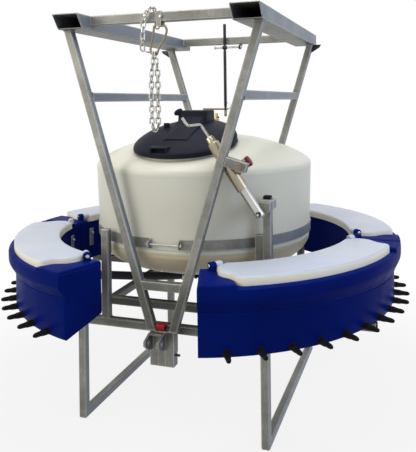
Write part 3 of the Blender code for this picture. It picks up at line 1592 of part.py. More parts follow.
def build_collar():
    """A sleeve capped over the jack post, with an arm forward to the pin of the ram's eye."""
    half = TUBE / 2 + COLLAR_WALL
    x = SKID_OUTER_X - TUBE / 2
    low_z = JACK_POST_TOP_Z + GAP
    top = low_z + COLLAR_HEIGHT
    collar = box(
        "jack_post_collar",
        (x - half, JACK_POST_Y - half, low_z),
        (x + half, JACK_POST_Y + half, top),
        "galvanised",
        0.003,
    )
    arm_back = JACK_Y + RAM_R + 0.004
    outline = [
        (JACK_PIN_X - 0.018, JACK_PIN_Z - 0.018),
        (JACK_PIN_X + 0.018, JACK_PIN_Z - 0.018),
        (x + half - 0.006, low_z + 0.004),
        (x + half - 0.006, top - 0.006),
        (JACK_PIN_X - 0.018, top - 0.006),
    ]
    depth = (JACK_POST_Y - half + 0.004) - arm_back
    arm = plate("collar_arm", outline, upright_plane(arm_back), depth, "galvanised")
    front = JACK_Y - RAM_R - 0.010
    pin = rod(
        "collar_pin",
        (JACK_PIN_X, front, JACK_PIN_Z),
        (JACK_PIN_X, arm_back + 0.01, JACK_PIN_Z),
        JACK_PIN_R,
        "zinc",
        sides=12,
    )
    cap_half = TUBE / 2 - 0.002
    low = (x - cap_half, JACK_POST_Y - cap_half, top - 0.004)
    high = (x + cap_half, JACK_POST_Y + cap_half, top + COLLAR_CAP)
    cap = box("collar_cap", low, high, "black_plastic", 0.003)
    combine(collar, [arm, pin, flatten(cap)], "UNION")


def loop_path():
    """The hanging loop: down one strand from the hook and up the other."""
    x, y, half = CHAIN_X, CHAIN_Y, CHAIN_STRAND_GAP / 2
    top = HOOK_LOW_Z + HOOK_WIRE_R + CHAIN_WIRE_R * (1 - CHAIN_BITE) + RUNNING * 4
    apart, aside = 0.0055, 0.006
    points = [
        (x - apart, y, top),
        (x - apart, y, top - CHAIN_PITCH * 0.8),
        (x - half, y - aside, top - CHAIN_PITCH * 2.2),
        (x - half, y - aside, CHAIN_LOW_Z + 0.030),
        (x - half * 0.3, y, CHAIN_LOW_Z),
        (x + half * 0.3, y, CHAIN_LOW_Z),
        (x + half, y + aside, CHAIN_LOW_Z + 0.030),
        (x + half, y + aside, top - CHAIN_PITCH * 2.2),
        (x + apart, y, top - CHAIN_PITCH * 0.8),
        (x + apart, y, top),
    ]
    return [Vector(point) for point in points]


def lashing_path():
    """The short end: from behind the crossbar over its top, down in front and across to the hook's foot."""
    y0 = CRADLE_FRONT_Y + CROSSBAR_SET_BACK
    y1 = y0 + CROSSBAR_DEPTH
    off = CHAIN_WIDTH / 2 + 0.0070
    top = CROSSBAR_TOP_Z
    points = [
        (-0.044, y1 + off, top - 0.070),
        (-0.045, y1 + off, top - 0.004),
        (-0.046, y1 - 0.004, top + off),
        (-0.050, y0 - 0.008, top + off),
        (-0.060, y0 - off - 0.006, top - 0.010),
        (-0.080, y0 - off, top - 0.050),
        (-0.083, y0 - off, top - 0.110),
        (-0.092, CHAIN_Y - 0.016, top - 0.160),
        (-0.096, CHAIN_Y - 0.006, HOOK_LOW_Z + 0.020),
        (-0.070, CHAIN_Y, HOOK_LOW_Z + 0.012),
    ]
    return [Vector(point) for point in points]


def along_path(points, distance):
    """The point at a distance along an open line."""
    for a, b in zip(points, points[1:]):
        step = (b - a).length
        if distance <= step:
            return a.lerp(b, max(distance, 0) / step)
        distance -= step
    return points[-1]


def build_chain():
    """Long welded links that bear on one another: a lashing round the crossbar and a loop that hangs free."""
    linked("chain_lashing", lashing_path(), 0)
    hanging = linked("chain_loop", loop_path(), 1)
    origin = Vector((CHAIN_X, CHAIN_Y, HOOK_LOW_Z))
    hanging.data.transform(Matrix.Translation(-origin))
    hanging.location = origin
    for modifier in hanging.modifiers:
        modifier.object.data.transform(Matrix.Translation(-origin))
        modifier.object.location = origin


def linked(name, path, turned_first):
    total = sum((b - a).length for a, b in zip(path, path[1:]))
    count = round(total / CHAIN_PITCH)
    if turned_first and count % 2 == 0:
        count += 1
    pitch = total / count
    half_width = CHAIN_WIDTH / 2 - CHAIN_WIRE_R
    sets = ([], [])
    for index in range(count):
        before, after = along_path(path, index * pitch), along_path(path, (index + 1) * pitch)
        half_length = (after - before).length / 2 + CHAIN_WIRE_R * CHAIN_BITE
        ahead = (after - before).normalized()
        flat = ahead.cross(Y_AXIS)
        if flat.length < 0.5:
            flat = X_AXIS.copy()
        flat.normalize()
        side = ahead.cross(flat) if (index + turned_first) % 2 else flat
        sets[index % 2].append(
            link(f"{name}_{index}", (before + after) / 2, ahead, side, half_length, half_width)
        )
    odd = merge(name + "_odd_links", sets[1], "zinc")
    chain = merge(name, sets[0], "zinc")
    return combine(chain, [odd], "UNION")


def link(name, centre, ahead, side, half_length, half_width):
    """One stadium-shaped link."""
    straight = half_length - half_width
    points = []
    for way in (1, -1):
        for index in range(4):
            angle = pi / 2 - pi * index / 3
            out = centre + ahead * way * (straight + half_width * cos(angle)) + side * way * half_width * sin(
                angle
            )
            points.append(out)
    return curve_object(name, points, CHAIN_WIRE_R, "zinc", sides=0, cyclic=True)


def build_hook():
    """A drop-shaped snap hook that hangs in the strap's eye."""
    top = CROSSBAR_TOP_Z - CROSSBAR_HEIGHT - STRAP_EYE + HOOK_WIRE_R * 0.9 + GAP
    low = HOOK_LOW_Z
    outline = [
        (STRAP_X - 0.014, top),
        (STRAP_X + 0.014, top),
        (STRAP_X + 0.027, top - 0.009),
        (0.027, top - 0.032),
        (0.013, top - 0.070),
        (-0.012, top - 0.108),
        (CHAIN_X + 0.014, low + 0.002),
        (CHAIN_X, low),
        (CHAIN_X - 0.014, low + 0.003),
        (-0.057, low + 0.022),
        (-0.050, top - 0.080),
        (-0.040, top - 0.030),
        (STRAP_X - 0.026, top - 0.009),
    ]
    points = [Vector((x, CHAIN_Y, z)) for x, z in outline]
    curve_object("snap_hook", points, HOOK_WIRE_R, "zinc", sides=1, cyclic=True)


def build_lever():
    """The black lever in front of the rear crossbar, on a bolt, with a link rod and a ring clip."""
    pivot = Vector((LEVER_X, LEVER_Y, LEVER_PIVOT_Z))
    lever = rod(
        "release_lever",
        (LEVER_X, LEVER_Y, LEVER_LOW_Z),
        (LEVER_X, LEVER_Y, LEVER_TOP_Z),
        LEVER_R,
        "black_steel",
        sides=12,
        origin=pivot,
    )
    barrel = rod(
        "lever_barrel",
        pivot - X_AXIS * 0.014,
        pivot + X_AXIS * 0.014,
        LEVER_R * 1.6,
        "black_steel",
        sides=14,
    )
    link_rod = rod(
        "lever_link",
        (LEVER_LINK_X, LEVER_Y, LEVER_LINK_Z),
        (LEVER_X + 0.020, LEVER_Y, LEVER_LINK_Z),
        0.0045,
        "zinc",
        sides=8,
    )
    ring_centre = Vector((LEVER_X + 0.014, LEVER_Y, LEVER_LINK_Z + 0.020))
    ring = []
    for index in range(10):
        angle = 2 * pi * index / 10
        ring.append(ring_centre + Vector((0.022 * cos(angle), 0, 0.022 * sin(angle))))
    clip = curve_object("lever_clip", ring, 0.0020, "zinc", sides=0, cyclic=True)
    bore = rod(
        "lever_bore",
        pivot - X_AXIS * 0.03,
        pivot + X_AXIS * 0.03,
        LEVER_BOLT_R + RUNNING,
        "black_steel",
        sides=12,
    )
    combine(lever, [barrel, link_rod, clip], "UNION")
    combine(lever, [bore], "DIFFERENCE")
    under = CROSSBAR_TOP_Z - CROSSBAR_HEIGHT - GAP
    bar_front = CRADLE_REAR_Y - CROSSBAR_SET_BACK - CROSSBAR_DEPTH
    outline = [
        (LEVER_Y - 0.014, LEVER_PIVOT_Z - 0.014),
        (LEVER_Y + 0.014, LEVER_PIVOT_Z - 0.014),
        (bar_front + 0.030, under - 0.010),
        (bar_front + 0.030, under),
        (bar_front, under),
        (LEVER_Y - 0.014, LEVER_PIVOT_Z + 0.010),
    ]
    bracket = plate("lever_bracket", outline, side_plane(LEVER_BRACKET_X), 0.008, "black_steel")
    bolt = rod(
        "lever_bolt",
        pivot - X_AXIS * 0.068,
        (LEVER_BRACKET_X + 0.014, LEVER_Y, LEVER_PIVOT_Z),
        LEVER_BOLT_R,
        "zinc",
        sides=12,
    )
    combine(bracket, [bolt], "UNION")


build_skids()
build_base_frame()
build_pivot_pins()
build_posts()
build_tank()
build_hatch_lid()
build_tank_fitting()
build_band()
build_outlet()
build_trough()
build_lids()
build_cradle()
build_jack()
build_chain()
build_hook()
build_lever()
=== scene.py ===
"""Looks of the multi-teat milk feeder: the moulded tank, troughs and lids, the galvanised frame, the jack and the chain.

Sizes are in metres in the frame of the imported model: +Z is up, the front is -Y, and the jack stands on the +X side.
Angles round the tank are measured from the front axis towards +X.
"""

import json

from math import atan2, cos, exp, hypot, pi, radians, sin

import bmesh
import bpy
from mathutils import Matrix, Vector, noise

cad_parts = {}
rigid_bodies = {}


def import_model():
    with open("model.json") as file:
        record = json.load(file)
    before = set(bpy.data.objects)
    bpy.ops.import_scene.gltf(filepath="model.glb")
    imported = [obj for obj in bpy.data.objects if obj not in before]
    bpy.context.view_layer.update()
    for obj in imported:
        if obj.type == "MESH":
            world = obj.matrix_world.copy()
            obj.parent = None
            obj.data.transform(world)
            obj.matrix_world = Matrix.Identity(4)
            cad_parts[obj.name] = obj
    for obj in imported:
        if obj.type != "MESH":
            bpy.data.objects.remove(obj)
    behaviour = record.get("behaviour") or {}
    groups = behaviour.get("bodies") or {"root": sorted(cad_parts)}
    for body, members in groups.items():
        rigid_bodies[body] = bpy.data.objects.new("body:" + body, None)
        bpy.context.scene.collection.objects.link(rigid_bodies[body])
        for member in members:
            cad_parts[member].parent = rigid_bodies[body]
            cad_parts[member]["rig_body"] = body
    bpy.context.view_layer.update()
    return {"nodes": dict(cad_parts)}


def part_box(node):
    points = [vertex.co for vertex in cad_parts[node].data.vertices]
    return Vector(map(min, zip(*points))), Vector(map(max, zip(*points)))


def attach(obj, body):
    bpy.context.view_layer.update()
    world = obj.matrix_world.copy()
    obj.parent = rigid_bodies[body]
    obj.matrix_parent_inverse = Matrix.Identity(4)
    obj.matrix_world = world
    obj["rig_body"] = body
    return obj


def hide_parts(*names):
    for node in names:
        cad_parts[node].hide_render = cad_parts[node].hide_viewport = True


bl_info = {
    "name": "Multi-teat milk feeder",
    "version": (1, 0, 0),
    "blender": (4, 5, 0),
    "location": "View3D > Sidebar > Feeder",
    "description": "Builds the visible pieces of a multi-teat milk feeder round its packed model",
    "category": "Object",
}

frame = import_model()

X_AXIS = Vector((1, 0, 0))
Y_AXIS = Vector((0, 1, 0))
Z_AXIS = Vector((0, 0, 1))
GAP = 0.0003

# Troughs and their lids
TROUGH_OUTER_R = 1.050
TROUGH_LOWER_R = 1.015
TROUGH_INNER_R = 0.795
TROUGH_WALL = 0.007
TROUGH_FIRST_ANGLE = radians(17.4)
TROUGH_LAST_ANGLE = pi / 2 - 0.003 / TROUGH_OUTER_R
TROUGH_RIM_Z = 0.846
TROUGH_DECK_Z = 0.862
TROUGH_FLARE_TOP_Z = 0.775
TROUGH_SEAM_Z = 0.722
TROUGH_SEAM_RISE = 0.028
TROUGH_INNER_LOW_Z = 0.621
TROUGH_OUTER_LOW_Z = 0.560
TROUGH_CORNER = 0.014
DIVIDER_TOP_Z = 0.755
DIVIDER_WALL = 0.006
DECK_ANGLE = radians(5.0)
DECK_FLARE_ANGLE = radians(3.8)
DECK_LAP = 0.004
BRACKET_ANGLE = radians(82)
TEATS = 9
TEAT_FIRST_ANGLE = radians(23.9)
TEAT_PITCH_ANGLE = radians(7.8)
TEAT_LENGTH = 0.078
TEAT_Z = 0.582
TEAT_DROOP = radians(3.0)
LID_THICKNESS = 0.038
LID_OUTER_R = 1.022
LID_INNER_R = 0.792
LID_CORNER = 0.042
LID_LOW_Z = TROUGH_RIM_Z + 0.0006
LUG_R = 0.832
LUG_ANGLE = radians(3.9)
LUG_RADIUS = 0.0175
LUG_LENGTH = 0.028
HINGE_Z = TROUGH_DECK_Z + 0.020
HINGE_PIN_R = 0.006
KNUCKLE_RADIUS = 0.0160
KNUCKLE_LENGTH = 0.034
KNUCKLE_GAP = 0.0008

# Tank, hatch and band
TANK_R = 0.5908
TANK_LOW_R = 0.577
TANK_SHOULDER_Z = 1.248
TANK_LOW_Z = 0.8545
TANK_TOP_Z = 1.402
TANK_BOTTOM_Z = 0.675
TANK_WALL = 0.007
HATCH_FRAME = Matrix.Translation((0, -0.285, 1.366)) @ Matrix.Rotation(radians(9.0), 4, "X")
HATCH_R = 0.268
HATCH_SKIRT = 0.012
HATCH_FRONT_DROP = 0.016
HATCH_RISE = 0.085
HATCH_APEX_BACK = 0.155
HATCH_WALL = 0.006
HATCH_HALF = 0.080
HATCH_HOOD_LENGTH = 0.135
HATCH_HOOD_TOP = 0.150
HATCH_HINGE = HATCH_FRAME @ Vector((0, HATCH_R + 0.032, 0.024))
HATCH_BOSS = (-0.120, -0.250)
HATCH_PANEL_LENGTH = 0.275
NECK_R = 0.252
NECK_HEIGHT = 0.008
NECK_DEPTH = 0.085
BAND_Z = 0.910
BAND_HEIGHT = 0.050
BAND_INNER_R = 0.5815
BAND_THICKNESS = 0.004

# Outlet and feed hoses
VALVE_R = 0.043
VALVE_TOP_Z = 0.660
VALVE_LOW_Z = 0.575
SPIGOT_R = 0.024
SPIGOT_REACH = 0.105
FEED_Z = 0.618
HOSE_R = 0.022
HOSE_END_Z = 0.662
HOSE_END_R = 0.7932
HOSE_FACETS = 10
HOSE_FACET = 5

# Base frame
TUBE = 0.040
SIDE_X = (0.450, 0.490)
SKID_JOINT_Z = 0.478

# Cradle
CRADLE_FRONT_Y = -0.626
CRADLE_REAR_Y = 0.731
POCKET_LOW_Z = 1.9386
POCKET_INNER_X = 0.3725
LEG_TOP_X = 0.4847
LEG_LOW_X = 0.1052
LEG_LOW_Z = 0.6853
TIE_Z = (0.700, 0.740)
BRACE_Z = 1.6095
BLOCK_TOP_Z = 0.515
CROSSBAR_FRONT_Y = CRADLE_FRONT_Y + 0.0325
CROSSBAR_TOP_Z = 2.008
CROSSBAR_HEIGHT = 0.048

# Levelling jack
JACK_PIN = Vector((0.455, -0.5500, 1.070))
JACK_LEAN = radians(34.5)
JACK_TUBE_R = 0.0285
JACK_TUBE_START = 0.130
JACK_TUBE_END = 0.385
JACK_HEAD_R = 0.021
JACK_HEAD_END = 0.418
RAM_R = 0.0225
RAM_START = -0.018
RAM_END = 0.290
SWIVEL_S = 0.223
SWIVEL_REACH = 0.100
SWIVEL_R = 0.0235
CRANK_R = 0.0068
CRANK_SHAFT_END = 0.490
CRANK_ARM = 0.170
CRANK_GRIP = 0.045
CRANK_BEND = 0.016
KNOB_R = 0.021
KNOB_LENGTH = 0.042

# Chain, hook and lever
CHAIN_X = -0.038
CHAIN_Y = -0.585
CHAIN_WIRE_R = 0.0041
CHAIN_PITCH = 0.0285
CHAIN_SPREAD = 0.040
CHAIN_WIDTH = 0.0292
CHAIN_LOW_Z = 1.443
CHAIN_STRAND_GAP = 0.028
HOOK_WIRE_R = 0.0055
HOOK_LOW_Z = 1.808
STRAP_X = -0.010
STRAP_EYE = 0.016
STRAP_BOLT_Z = 1.985
LEVER_X = -0.069

# Each finish: its maker, its slot, its name, its colour (a setting of the panel or as written), its second colour (a
# setting, a share of the first or as written), then the maker's own numbers
FINISH_TABLE = {
    # colour of the painted edge highlight, roughness, crystal scale, cloud, metallic, relief, width of the edge
    # highlight, ageing, strength of the painted sky reflection and of the painted shade band
    "galvanised": (
        "metal", "galvanised_steel", "galvanised steel", "steel", 1.65,
        (0.80, 0.77, 0.68), 0.44, 60.0, 0.45, 0.35, 0.20, 0.0045, 0.70, 0.55, 0.62,
    ),
    "zinc": (
        "metal", "bright_zinc", "bright zinc", "zinc", 1.15,
        (0.90, 0.89, 0.85), 0.26, 30.0, 1.0, 0.9, 0.02, 0.0015, 0.5,
    ),
    "jack_zinc": (
        "metal", "bright_zinc", "gold tinted zinc", (0.36, 0.30, 0.19), (0.52, 0.47, 0.36),
        (0.8, 0.76, 0.66), 0.24, 12.0, 1.0, 0.9, 0.02, 0.0015, 0.4,
    ),
    "hook_zinc": (
        "metal", "bright_zinc", "dull brown zinc", (0.20, 0.16, 0.10), (0.30, 0.25, 0.16),
        (0.5, 0.44, 0.34), 0.32, 12.0, 1.0, 0.8, 0.02, 0.0015, 0.4,
    ),
    "brass": (
        "metal", "brass", "brass", (0.50, 0.31, 0.08), (0.62, 0.42, 0.14),
        (0.8, 0.6, 0.3), 0.30, 40.0, 0.8, 1.0, 0.05, 0.002, 0.35,
    ),
    "black_steel": (
        "metal", "black_steel", "blackened steel", (0.008, 0.008, 0.009), (0.018, 0.018, 0.019),
        (0.07, 0.07, 0.07), 0.42, 50.0, 0.8, 0.4, 0.05, 0.002, 0.35,
    ),
    # roughness, grain scale, grain, specular level, colour of the painted edge highlight and its width
    "navy": (
        "plastic", "navy_plastic", "navy moulding", "navy", 0.78, 0.42, 130.0, 0.10, 0.012, (0.02, 0.04, 0.26), 0.0025,
    ),
    "black": (
        "plastic", "black_plastic", "black moulding", "black", 1.4, 0.46, 200.0, 0.22, 0.05, (0.03, 0.032, 0.04), 0.003,
    ),
    "rubber": (
        "plastic", "black_rubber", "black rubber", (0.004, 0.004, 0.005), (0.007, 0.007, 0.008), 0.60, 260.0, 0.25, 0.10,
    ),
    "hose": (
        "plastic", "black_rubber", "feed hose", (0.030, 0.032, 0.042), (0.045, 0.047, 0.060), 0.42, 180.0, 0.15, 0.20,
    ),
    "red": (
        "plastic", "red_plastic", "red moulding", "red", (0.30, 0.012, 0.014), 0.45, 160.0, 0.15, 0.25,
        (0.55, 0.06, 0.05), 0.006,
    ),
    "cap_red": (
        "plastic", "red_plastic", "red cap", (0.16, 0.012, 0.010), (0.11, 0.008, 0.008), 0.45, 160.0, 0.15, 0.25,
    ),
    # the low and the high end of the colour's change, its unevenness, roughness and grain
    # The lid's darker bluish top, above its cream lip, is painted sky reflection and shade on one pale plastic.
    "lid": (
        "two tones", "white_plastic", "lid moulding", "lid_lip", "lid_top", 0.8755, 0.8835, 0.002, 0.42, 0.10,
    ),
    "tank": (
        "two tones", "tank_plastic", "tank moulding", "tank_cone", "tank", 0.860, 0.868, 0.004, 0.42, 0.08,
    ),
}
FINISHES = {}
# Bluish tint painted as a sky reflection on faces turned towards +X.
PAINTED_SKY_REFLECTION = (0.13, 0.18, 0.27)
FULL = {"Low": 0.0, "High": 1.0}


class Shading:
    """Adds nodes to a shader tree, and sets or links their inputs."""

    def __init__(self, tree):
        self.tree = tree

    def feed(self, node, inputs):
        for key, value in inputs.items():
            if isinstance(value, bpy.types.NodeSocket):
                self.tree.links.new(value, node.inputs[key])
            else:
                node.inputs[key].default_value = value

    def add(self, kind, inputs=None, **settings):
        """The outputs of a new node."""
        node = self.tree.nodes.new(kind)
        node.location = (200 * len(self.tree.nodes) - 1000, 0)
        for key, value in settings.items():
            setattr(node, key, value)
        self.feed(node, inputs or {})
        return node.outputs

    def place(self):
        return self.add("ShaderNodeTexCoord")["Object"]

    def cloud(self, scale, detail=2.0):
        return self.add("ShaderNodeTexNoise", {"Vector": self.place(), "Scale": scale, "Detail": detail})

    def math(self, operation, *values):
        return self.add("ShaderNodeMath", dict(enumerate(values)), operation=operation)["Value"]

    def remap(self, value, low, high, to_low=0.0, to_high=1.0, **settings):
        inputs = {"Value": value, "From Min": low, "From Max": high, "To Min": to_low, "To Max": to_high}
        return self.add("ShaderNodeMapRange", inputs, **settings)["Result"]

    def mix(self, factor, first, second, kind="RGBA"):
        first, second = ((*value, 1) if isinstance(value, tuple) else value for value in (first, second))
        return self.add("ShaderNodeMix", {"Factor": factor, "A": first, "B": second}, data_type=kind)["Result"]

    def bump(self, height, strength, distance):
        inputs = {"Height": height, "Strength": strength, "Distance": distance}
        return self.add("ShaderNodeBump", inputs)["Normal"]

    def group(self, name, **inputs):
        """The only or the first output of a shared group."""
        inputs = {key.replace("_", " "): value for key, value in inputs.items()}
        return self.add("ShaderNodeGroup", inputs, node_tree=shader_group(name))[0]


def mottle_group(make, given):
    """Soft cloudy variation: a value between Low and High."""
    cloud = make.cloud(given["Scale"], given["Detail"])["Fac"]
    return [make.remap(cloud, 0.32, 0.68, given["Low"], given["High"])]


def spangle_group(make, given):
    """Zinc crystals: a flat random value in each cell, softened by a cloud."""
    bent = make.mix(0.06, make.place(), make.cloud(40.0)["Color"], "VECTOR")
    crystal = make.add("ShaderNodeTexVoronoi", {"Vector": bent, "Scale": given["Scale"]})
    cell = make.add("ShaderNodeSeparateColor", {"Color": crystal["Color"]})["Red"]
    return [make.mix(given["Cloud"], cell, make.cloud(14.0, 4.0)["Fac"], "FLOAT")]


def edge_group(make, given):
    """Mask that is 1 along the outer edges of a piece, where a highlight is painted."""
    soft = make.add("ShaderNodeBevel", {"Radius": given["Width"]}, samples=4)["Normal"]
    true = make.add("ShaderNodeNewGeometry")["Normal"]
    match = make.add("ShaderNodeVectorMath", {0: soft, 1: true}, operation="DOT_PRODUCT")["Value"]
    broken = make.mix(given["Break up"], 1.0, make.cloud(60.0, 3.0)["Fac"], "FLOAT")
    return [make.math("MULTIPLY", make.remap(match, 0.995, 0.90), broken)]


def height_group(make, given):
    """Mask from 0 at a low height to 1 at a high one, with a soft uneven line."""
    z = make.add("ShaderNodeSeparateXYZ", {"Vector": make.place()})["Z"]
    moved = make.math("MULTIPLY_ADD", make.cloud(18.0)["Fac"], given["Unevenness"], z)
    return [make.remap(moved, given["Low"], given["High"], interpolation_type="SMOOTHSTEP")]


# Each shared group: its builder, its inputs and its output
GROUPS = {
    "mottle": (mottle_group, {"Scale": 8.0, "Detail": 3.0, **FULL}, "Value"),
    "spangle": (spangle_group, {"Scale": 70.0, "Cloud": 0.5}, "Value"),
    "worn_edge": (edge_group, {"Width": 0.004, "Break up": 0.5}, "Mask"),
    "height": (height_group, {**FULL, "Unevenness": 0.01}, "Mask"),
}


def shader_group(name):
    """One of the shared node groups, built on first use."""
    if name in bpy.data.node_groups:
        return bpy.data.node_groups[name]
    build, inputs, output = GROUPS[name]
    tree = bpy.data.node_groups.new(name, "ShaderNodeTree")
    for label, default in inputs.items():
        socket = tree.interface.new_socket(name=label, in_out="INPUT", socket_type="NodeSocketFloat")
        socket.default_value = default
    tree.interface.new_socket(name=output, in_out="OUTPUT", socket_type="NodeSocketFloat")
    make = Shading(tree)
    (result,) = build(make, make.add("NodeGroupInput"))
    make.add("NodeGroupOutput", {output: result})
    return tree


def scaled(colour, share):
    return tuple(channel * share for channel in colour)


def metal_finish(
    make, shader, dark, light, edge_highlight_colour, rough, crystals, cloud, metallic, relief, edge_highlight_width, ageing, sky=0.0, painted_shade_band=0.0
):
    """Metal with crystals or brushing: painted shade on downward faces and in a band of height, a painted bluish sky
    reflection on faces turned to +X, and a painted highlight along its edges.
    """
    crystal = make.group("spangle", Scale=crystals, Cloud=cloud)
    tone = make.mix(crystal, dark, light)
    streak = make.group("mottle", Scale=5.0, Detail=4.0, **FULL)
    tone = make.mix(make.math("MULTIPLY", streak, ageing), tone, scaled(dark, 0.50))
    # Painted shade: faces turned downwards darken towards a quarter of the dark colour, as if in shadow.
    facing = make.add("ShaderNodeSeparateXYZ", {"Vector": make.add("ShaderNodeNewGeometry")["Normal"]})
    tone = make.mix(make.remap(facing["Z"], 0.0, -0.9, 0.0, 0.55), tone, scaled(dark, 0.25))
    # Painted reflection: faces turned towards +X take a bluish tint of sky, as strong as sky.
    tone = make.mix(make.remap(facing["X"], 0.55, 0.85, 0.0, sky), tone, PAINTED_SKY_REFLECTION)
    # Painted shade: a band of height from about 0.5 m to 0.8 m, where the troughs shade the frame, darkens towards the
    # dark colour; dull holds this painted shade.
    lower = make.group("height", Low=0.46, High=0.54, Unevenness=0.03)
    upper = make.group("height", Low=0.86, High=0.66, Unevenness=0.03)
    dull = make.math("MULTIPLY", make.math("MULTIPLY", lower, upper), painted_shade_band)
    tone = make.mix(dull, tone, scaled(dark, 0.14))
    # Painted highlight: the edges take the pale edge colour, as light catching rounded corners.
    tone = make.mix(make.group("worn_edge", Width=edge_highlight_width, Break_up=0.55), tone, edge_highlight_colour)
    gloss = make.remap(crystal, 0.0, 1.0, rough - 0.08, rough + 0.10)
    normal = make.bump(crystal, relief, 0.0006)
    make.feed(shader, {"Base Color": tone, "Roughness": gloss, "Metallic": metallic, "Normal": normal})


def moulded_skin(make, shader, tone, rough, scuff_scale, less, more, grain_scale, grain, depth):
    """Gives a moulding its colour, its uneven gloss and its fine grain."""
    gloss = make.group("mottle", Scale=scuff_scale, Detail=6.0, Low=rough - less, High=rough + more)
    skin = make.group("mottle", Scale=grain_scale, Detail=2.0, **FULL)
    make.feed(shader, {"Base Color": tone, "Roughness": gloss, "Normal": make.bump(skin, grain, depth)})


def plastic_finish(make, shader, colour, cloudy, rough, grain_scale, grain, specular, edge_highlight_colour=None, edge_highlight_width=0.0):
    """Moulded plastic: a cloudy colour, a fine grain and a paler painted highlight along its edges."""
    tone = make.mix(make.group("mottle", Scale=3.5, Detail=4.0, **FULL), colour, cloudy)
    # Painted highlight: the edges take the paler edge colour, as light catching rounded corners.
    if edge_highlight_colour:
        tone = make.mix(make.group("worn_edge", Width=edge_highlight_width, Break_up=0.6), tone, edge_highlight_colour)
    moulded_skin(make, shader, tone, rough, 9.0, 0.07, 0.09, grain_scale, grain, 0.0008)
    make.feed(shader, {"Specular IOR Level": specular})


def two_tone_finish(make, shader, low_colour, high_colour, low, high, unevenness, rough, grain):
    """Pale plastic whose colour turns with height, as on the lids' lips and the tank's cone; on the lids the darker
    bluish top is painted sky reflection and shade.
    """
    mask = make.group("height", Low=low, High=high, Unevenness=unevenness)
    cloud = make.group("mottle", Scale=4.0, Detail=5.0, Low=0.0, High=0.16)
    tone = make.mix(cloud, make.mix(mask, low_colour, high_colour), scaled(low_colour, 0.72))
    moulded_skin(make, shader, tone, rough, 7.0, 0.06, 0.08, 160.0, grain, 0.0006)


MAKERS = {"metal": metal_finish, "plastic": plastic_finish, "two tones": two_tone_finish}


def colour_of(value, first=None):
    """A colour from a setting of the panel, as a share of another colour, or as written."""
    if isinstance(value, str):
        return tuple(getattr(bpy.context.scene.feeder_finishes, value))
    return scaled(first, value) if isinstance(value, float) else value


def finish(name):
    """The material of a finish, made on first use."""
    if name not in FINISHES:
        maker, _, label, colour, second, *numbers = FINISH_TABLE[name]
        material = bpy.data.materials.new(label)
        material.use_nodes = True
        tree = material.node_tree
        colour = colour_of(colour)
        MAKERS[maker](Shading(tree), tree.nodes["Principled BSDF"], colour, colour_of(second, colour), *numbers)
        FINISHES[name] = material
    return FINISHES[name]


def around(angle, r, z):
    """Point at an angle from the front axis, a radius and a height."""
    return Vector((r * sin(angle), -r * cos(angle), z))


def on_hatch(x, y, z):
    """Point in the hatch lid's own frame."""
    return HATCH_FRAME @ Vector((x, y, z))


def flat(points):
    return [(point.x, point.y) for point in points]


def steps_from(start, end, count):
    """Evenly spaced numbers from start to end."""
    return [start + (end - start) * index / count for index in range(count + 1)]


def eased(points, per):
    """Points of a smooth curve through the given ones, with per steps between each pair."""
    points = [Vector(point) for point in points]
    held = [points[0], *points, points[-1]]
    line = []
    for a, b, c, d in zip(held, held[1:], held[2:], held[3:]):
        for index in range(per):
            t = index / per
            square, cube = 2 * a - 5 * b + 4 * c - d, 3 * b - a - 3 * c + d
            line.append(0.5 * (2 * b + (c - a) * t + square * t**2 + cube * t**3))
    line.append(points[-1])
    return line


def aimed(start, direction):
    """Matrix whose Z axis points along a direction from a start."""
    return Matrix.Translation(start) @ Vector(direction).to_track_quat("Z", "Y").to_matrix().to_4x4()


def axes(place, x_axis, y_axis, z_axis):
    """Matrix with given axes at a place."""
    matrix = Matrix.Identity(4)
    for index, column in enumerate((x_axis, y_axis, z_axis, place)):
        matrix.col[index] = (*column, 1 if index == 3 else 0)
    return matrix


def side_matrix(x):
    """Matrix that lays an outline of (y, z) points in the plane at x."""
    return axes((x, 0, 0), Y_AXIS, Z_AXIS, X_AXIS)


def piece(name, bm, finish_name, sharp=35):
    """Turns a bmesh into an object with one finish."""
    mesh = bpy.data.meshes.new(name)
    bm.to_mesh(mesh)
    bm.free()
    mesh.materials.append(finish(finish_name))
    obj = bpy.data.objects.new(name, mesh)
    bpy.context.scene.collection.objects.link(obj)
    smooth(obj, sharp)
    return obj


def smooth(obj, sharp):
    obj.data.shade_smooth()
    obj.data.set_sharp_from_angle(angle=radians(sharp))


def settle(obj, body, stands_for=()):
    """Lets a piece ride on a body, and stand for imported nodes."""
    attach(obj, body)
    if stands_for:
        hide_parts(*stands_for)
    return obj


def made(name, bm, finish_name, body, *stands_for, sharp=35):
    return settle(piece(name, bm, finish_name, sharp), body, stands_for)


def carve(obj, meshes, operation, finish_name):
    """Applies Booleans with bmeshes."""
    others = [piece("other", bm, finish_name) for bm in meshes]
    for other in others:
        modifier = obj.modifiers.new(operation.title(), "BOOLEAN")
        modifier.operation = operation
        modifier.solver = "EXACT"
        modifier.object = other
    bpy.context.view_layer.update()
    graph = bpy.context.evaluated_depsgraph_get()
    mesh = bpy.data.meshes.new_from_object(obj.evaluated_get(graph))
    obj.modifiers.clear()
    obj.data = mesh
    for other in others:
        bpy.data.objects.remove(other, do_unlink=True)


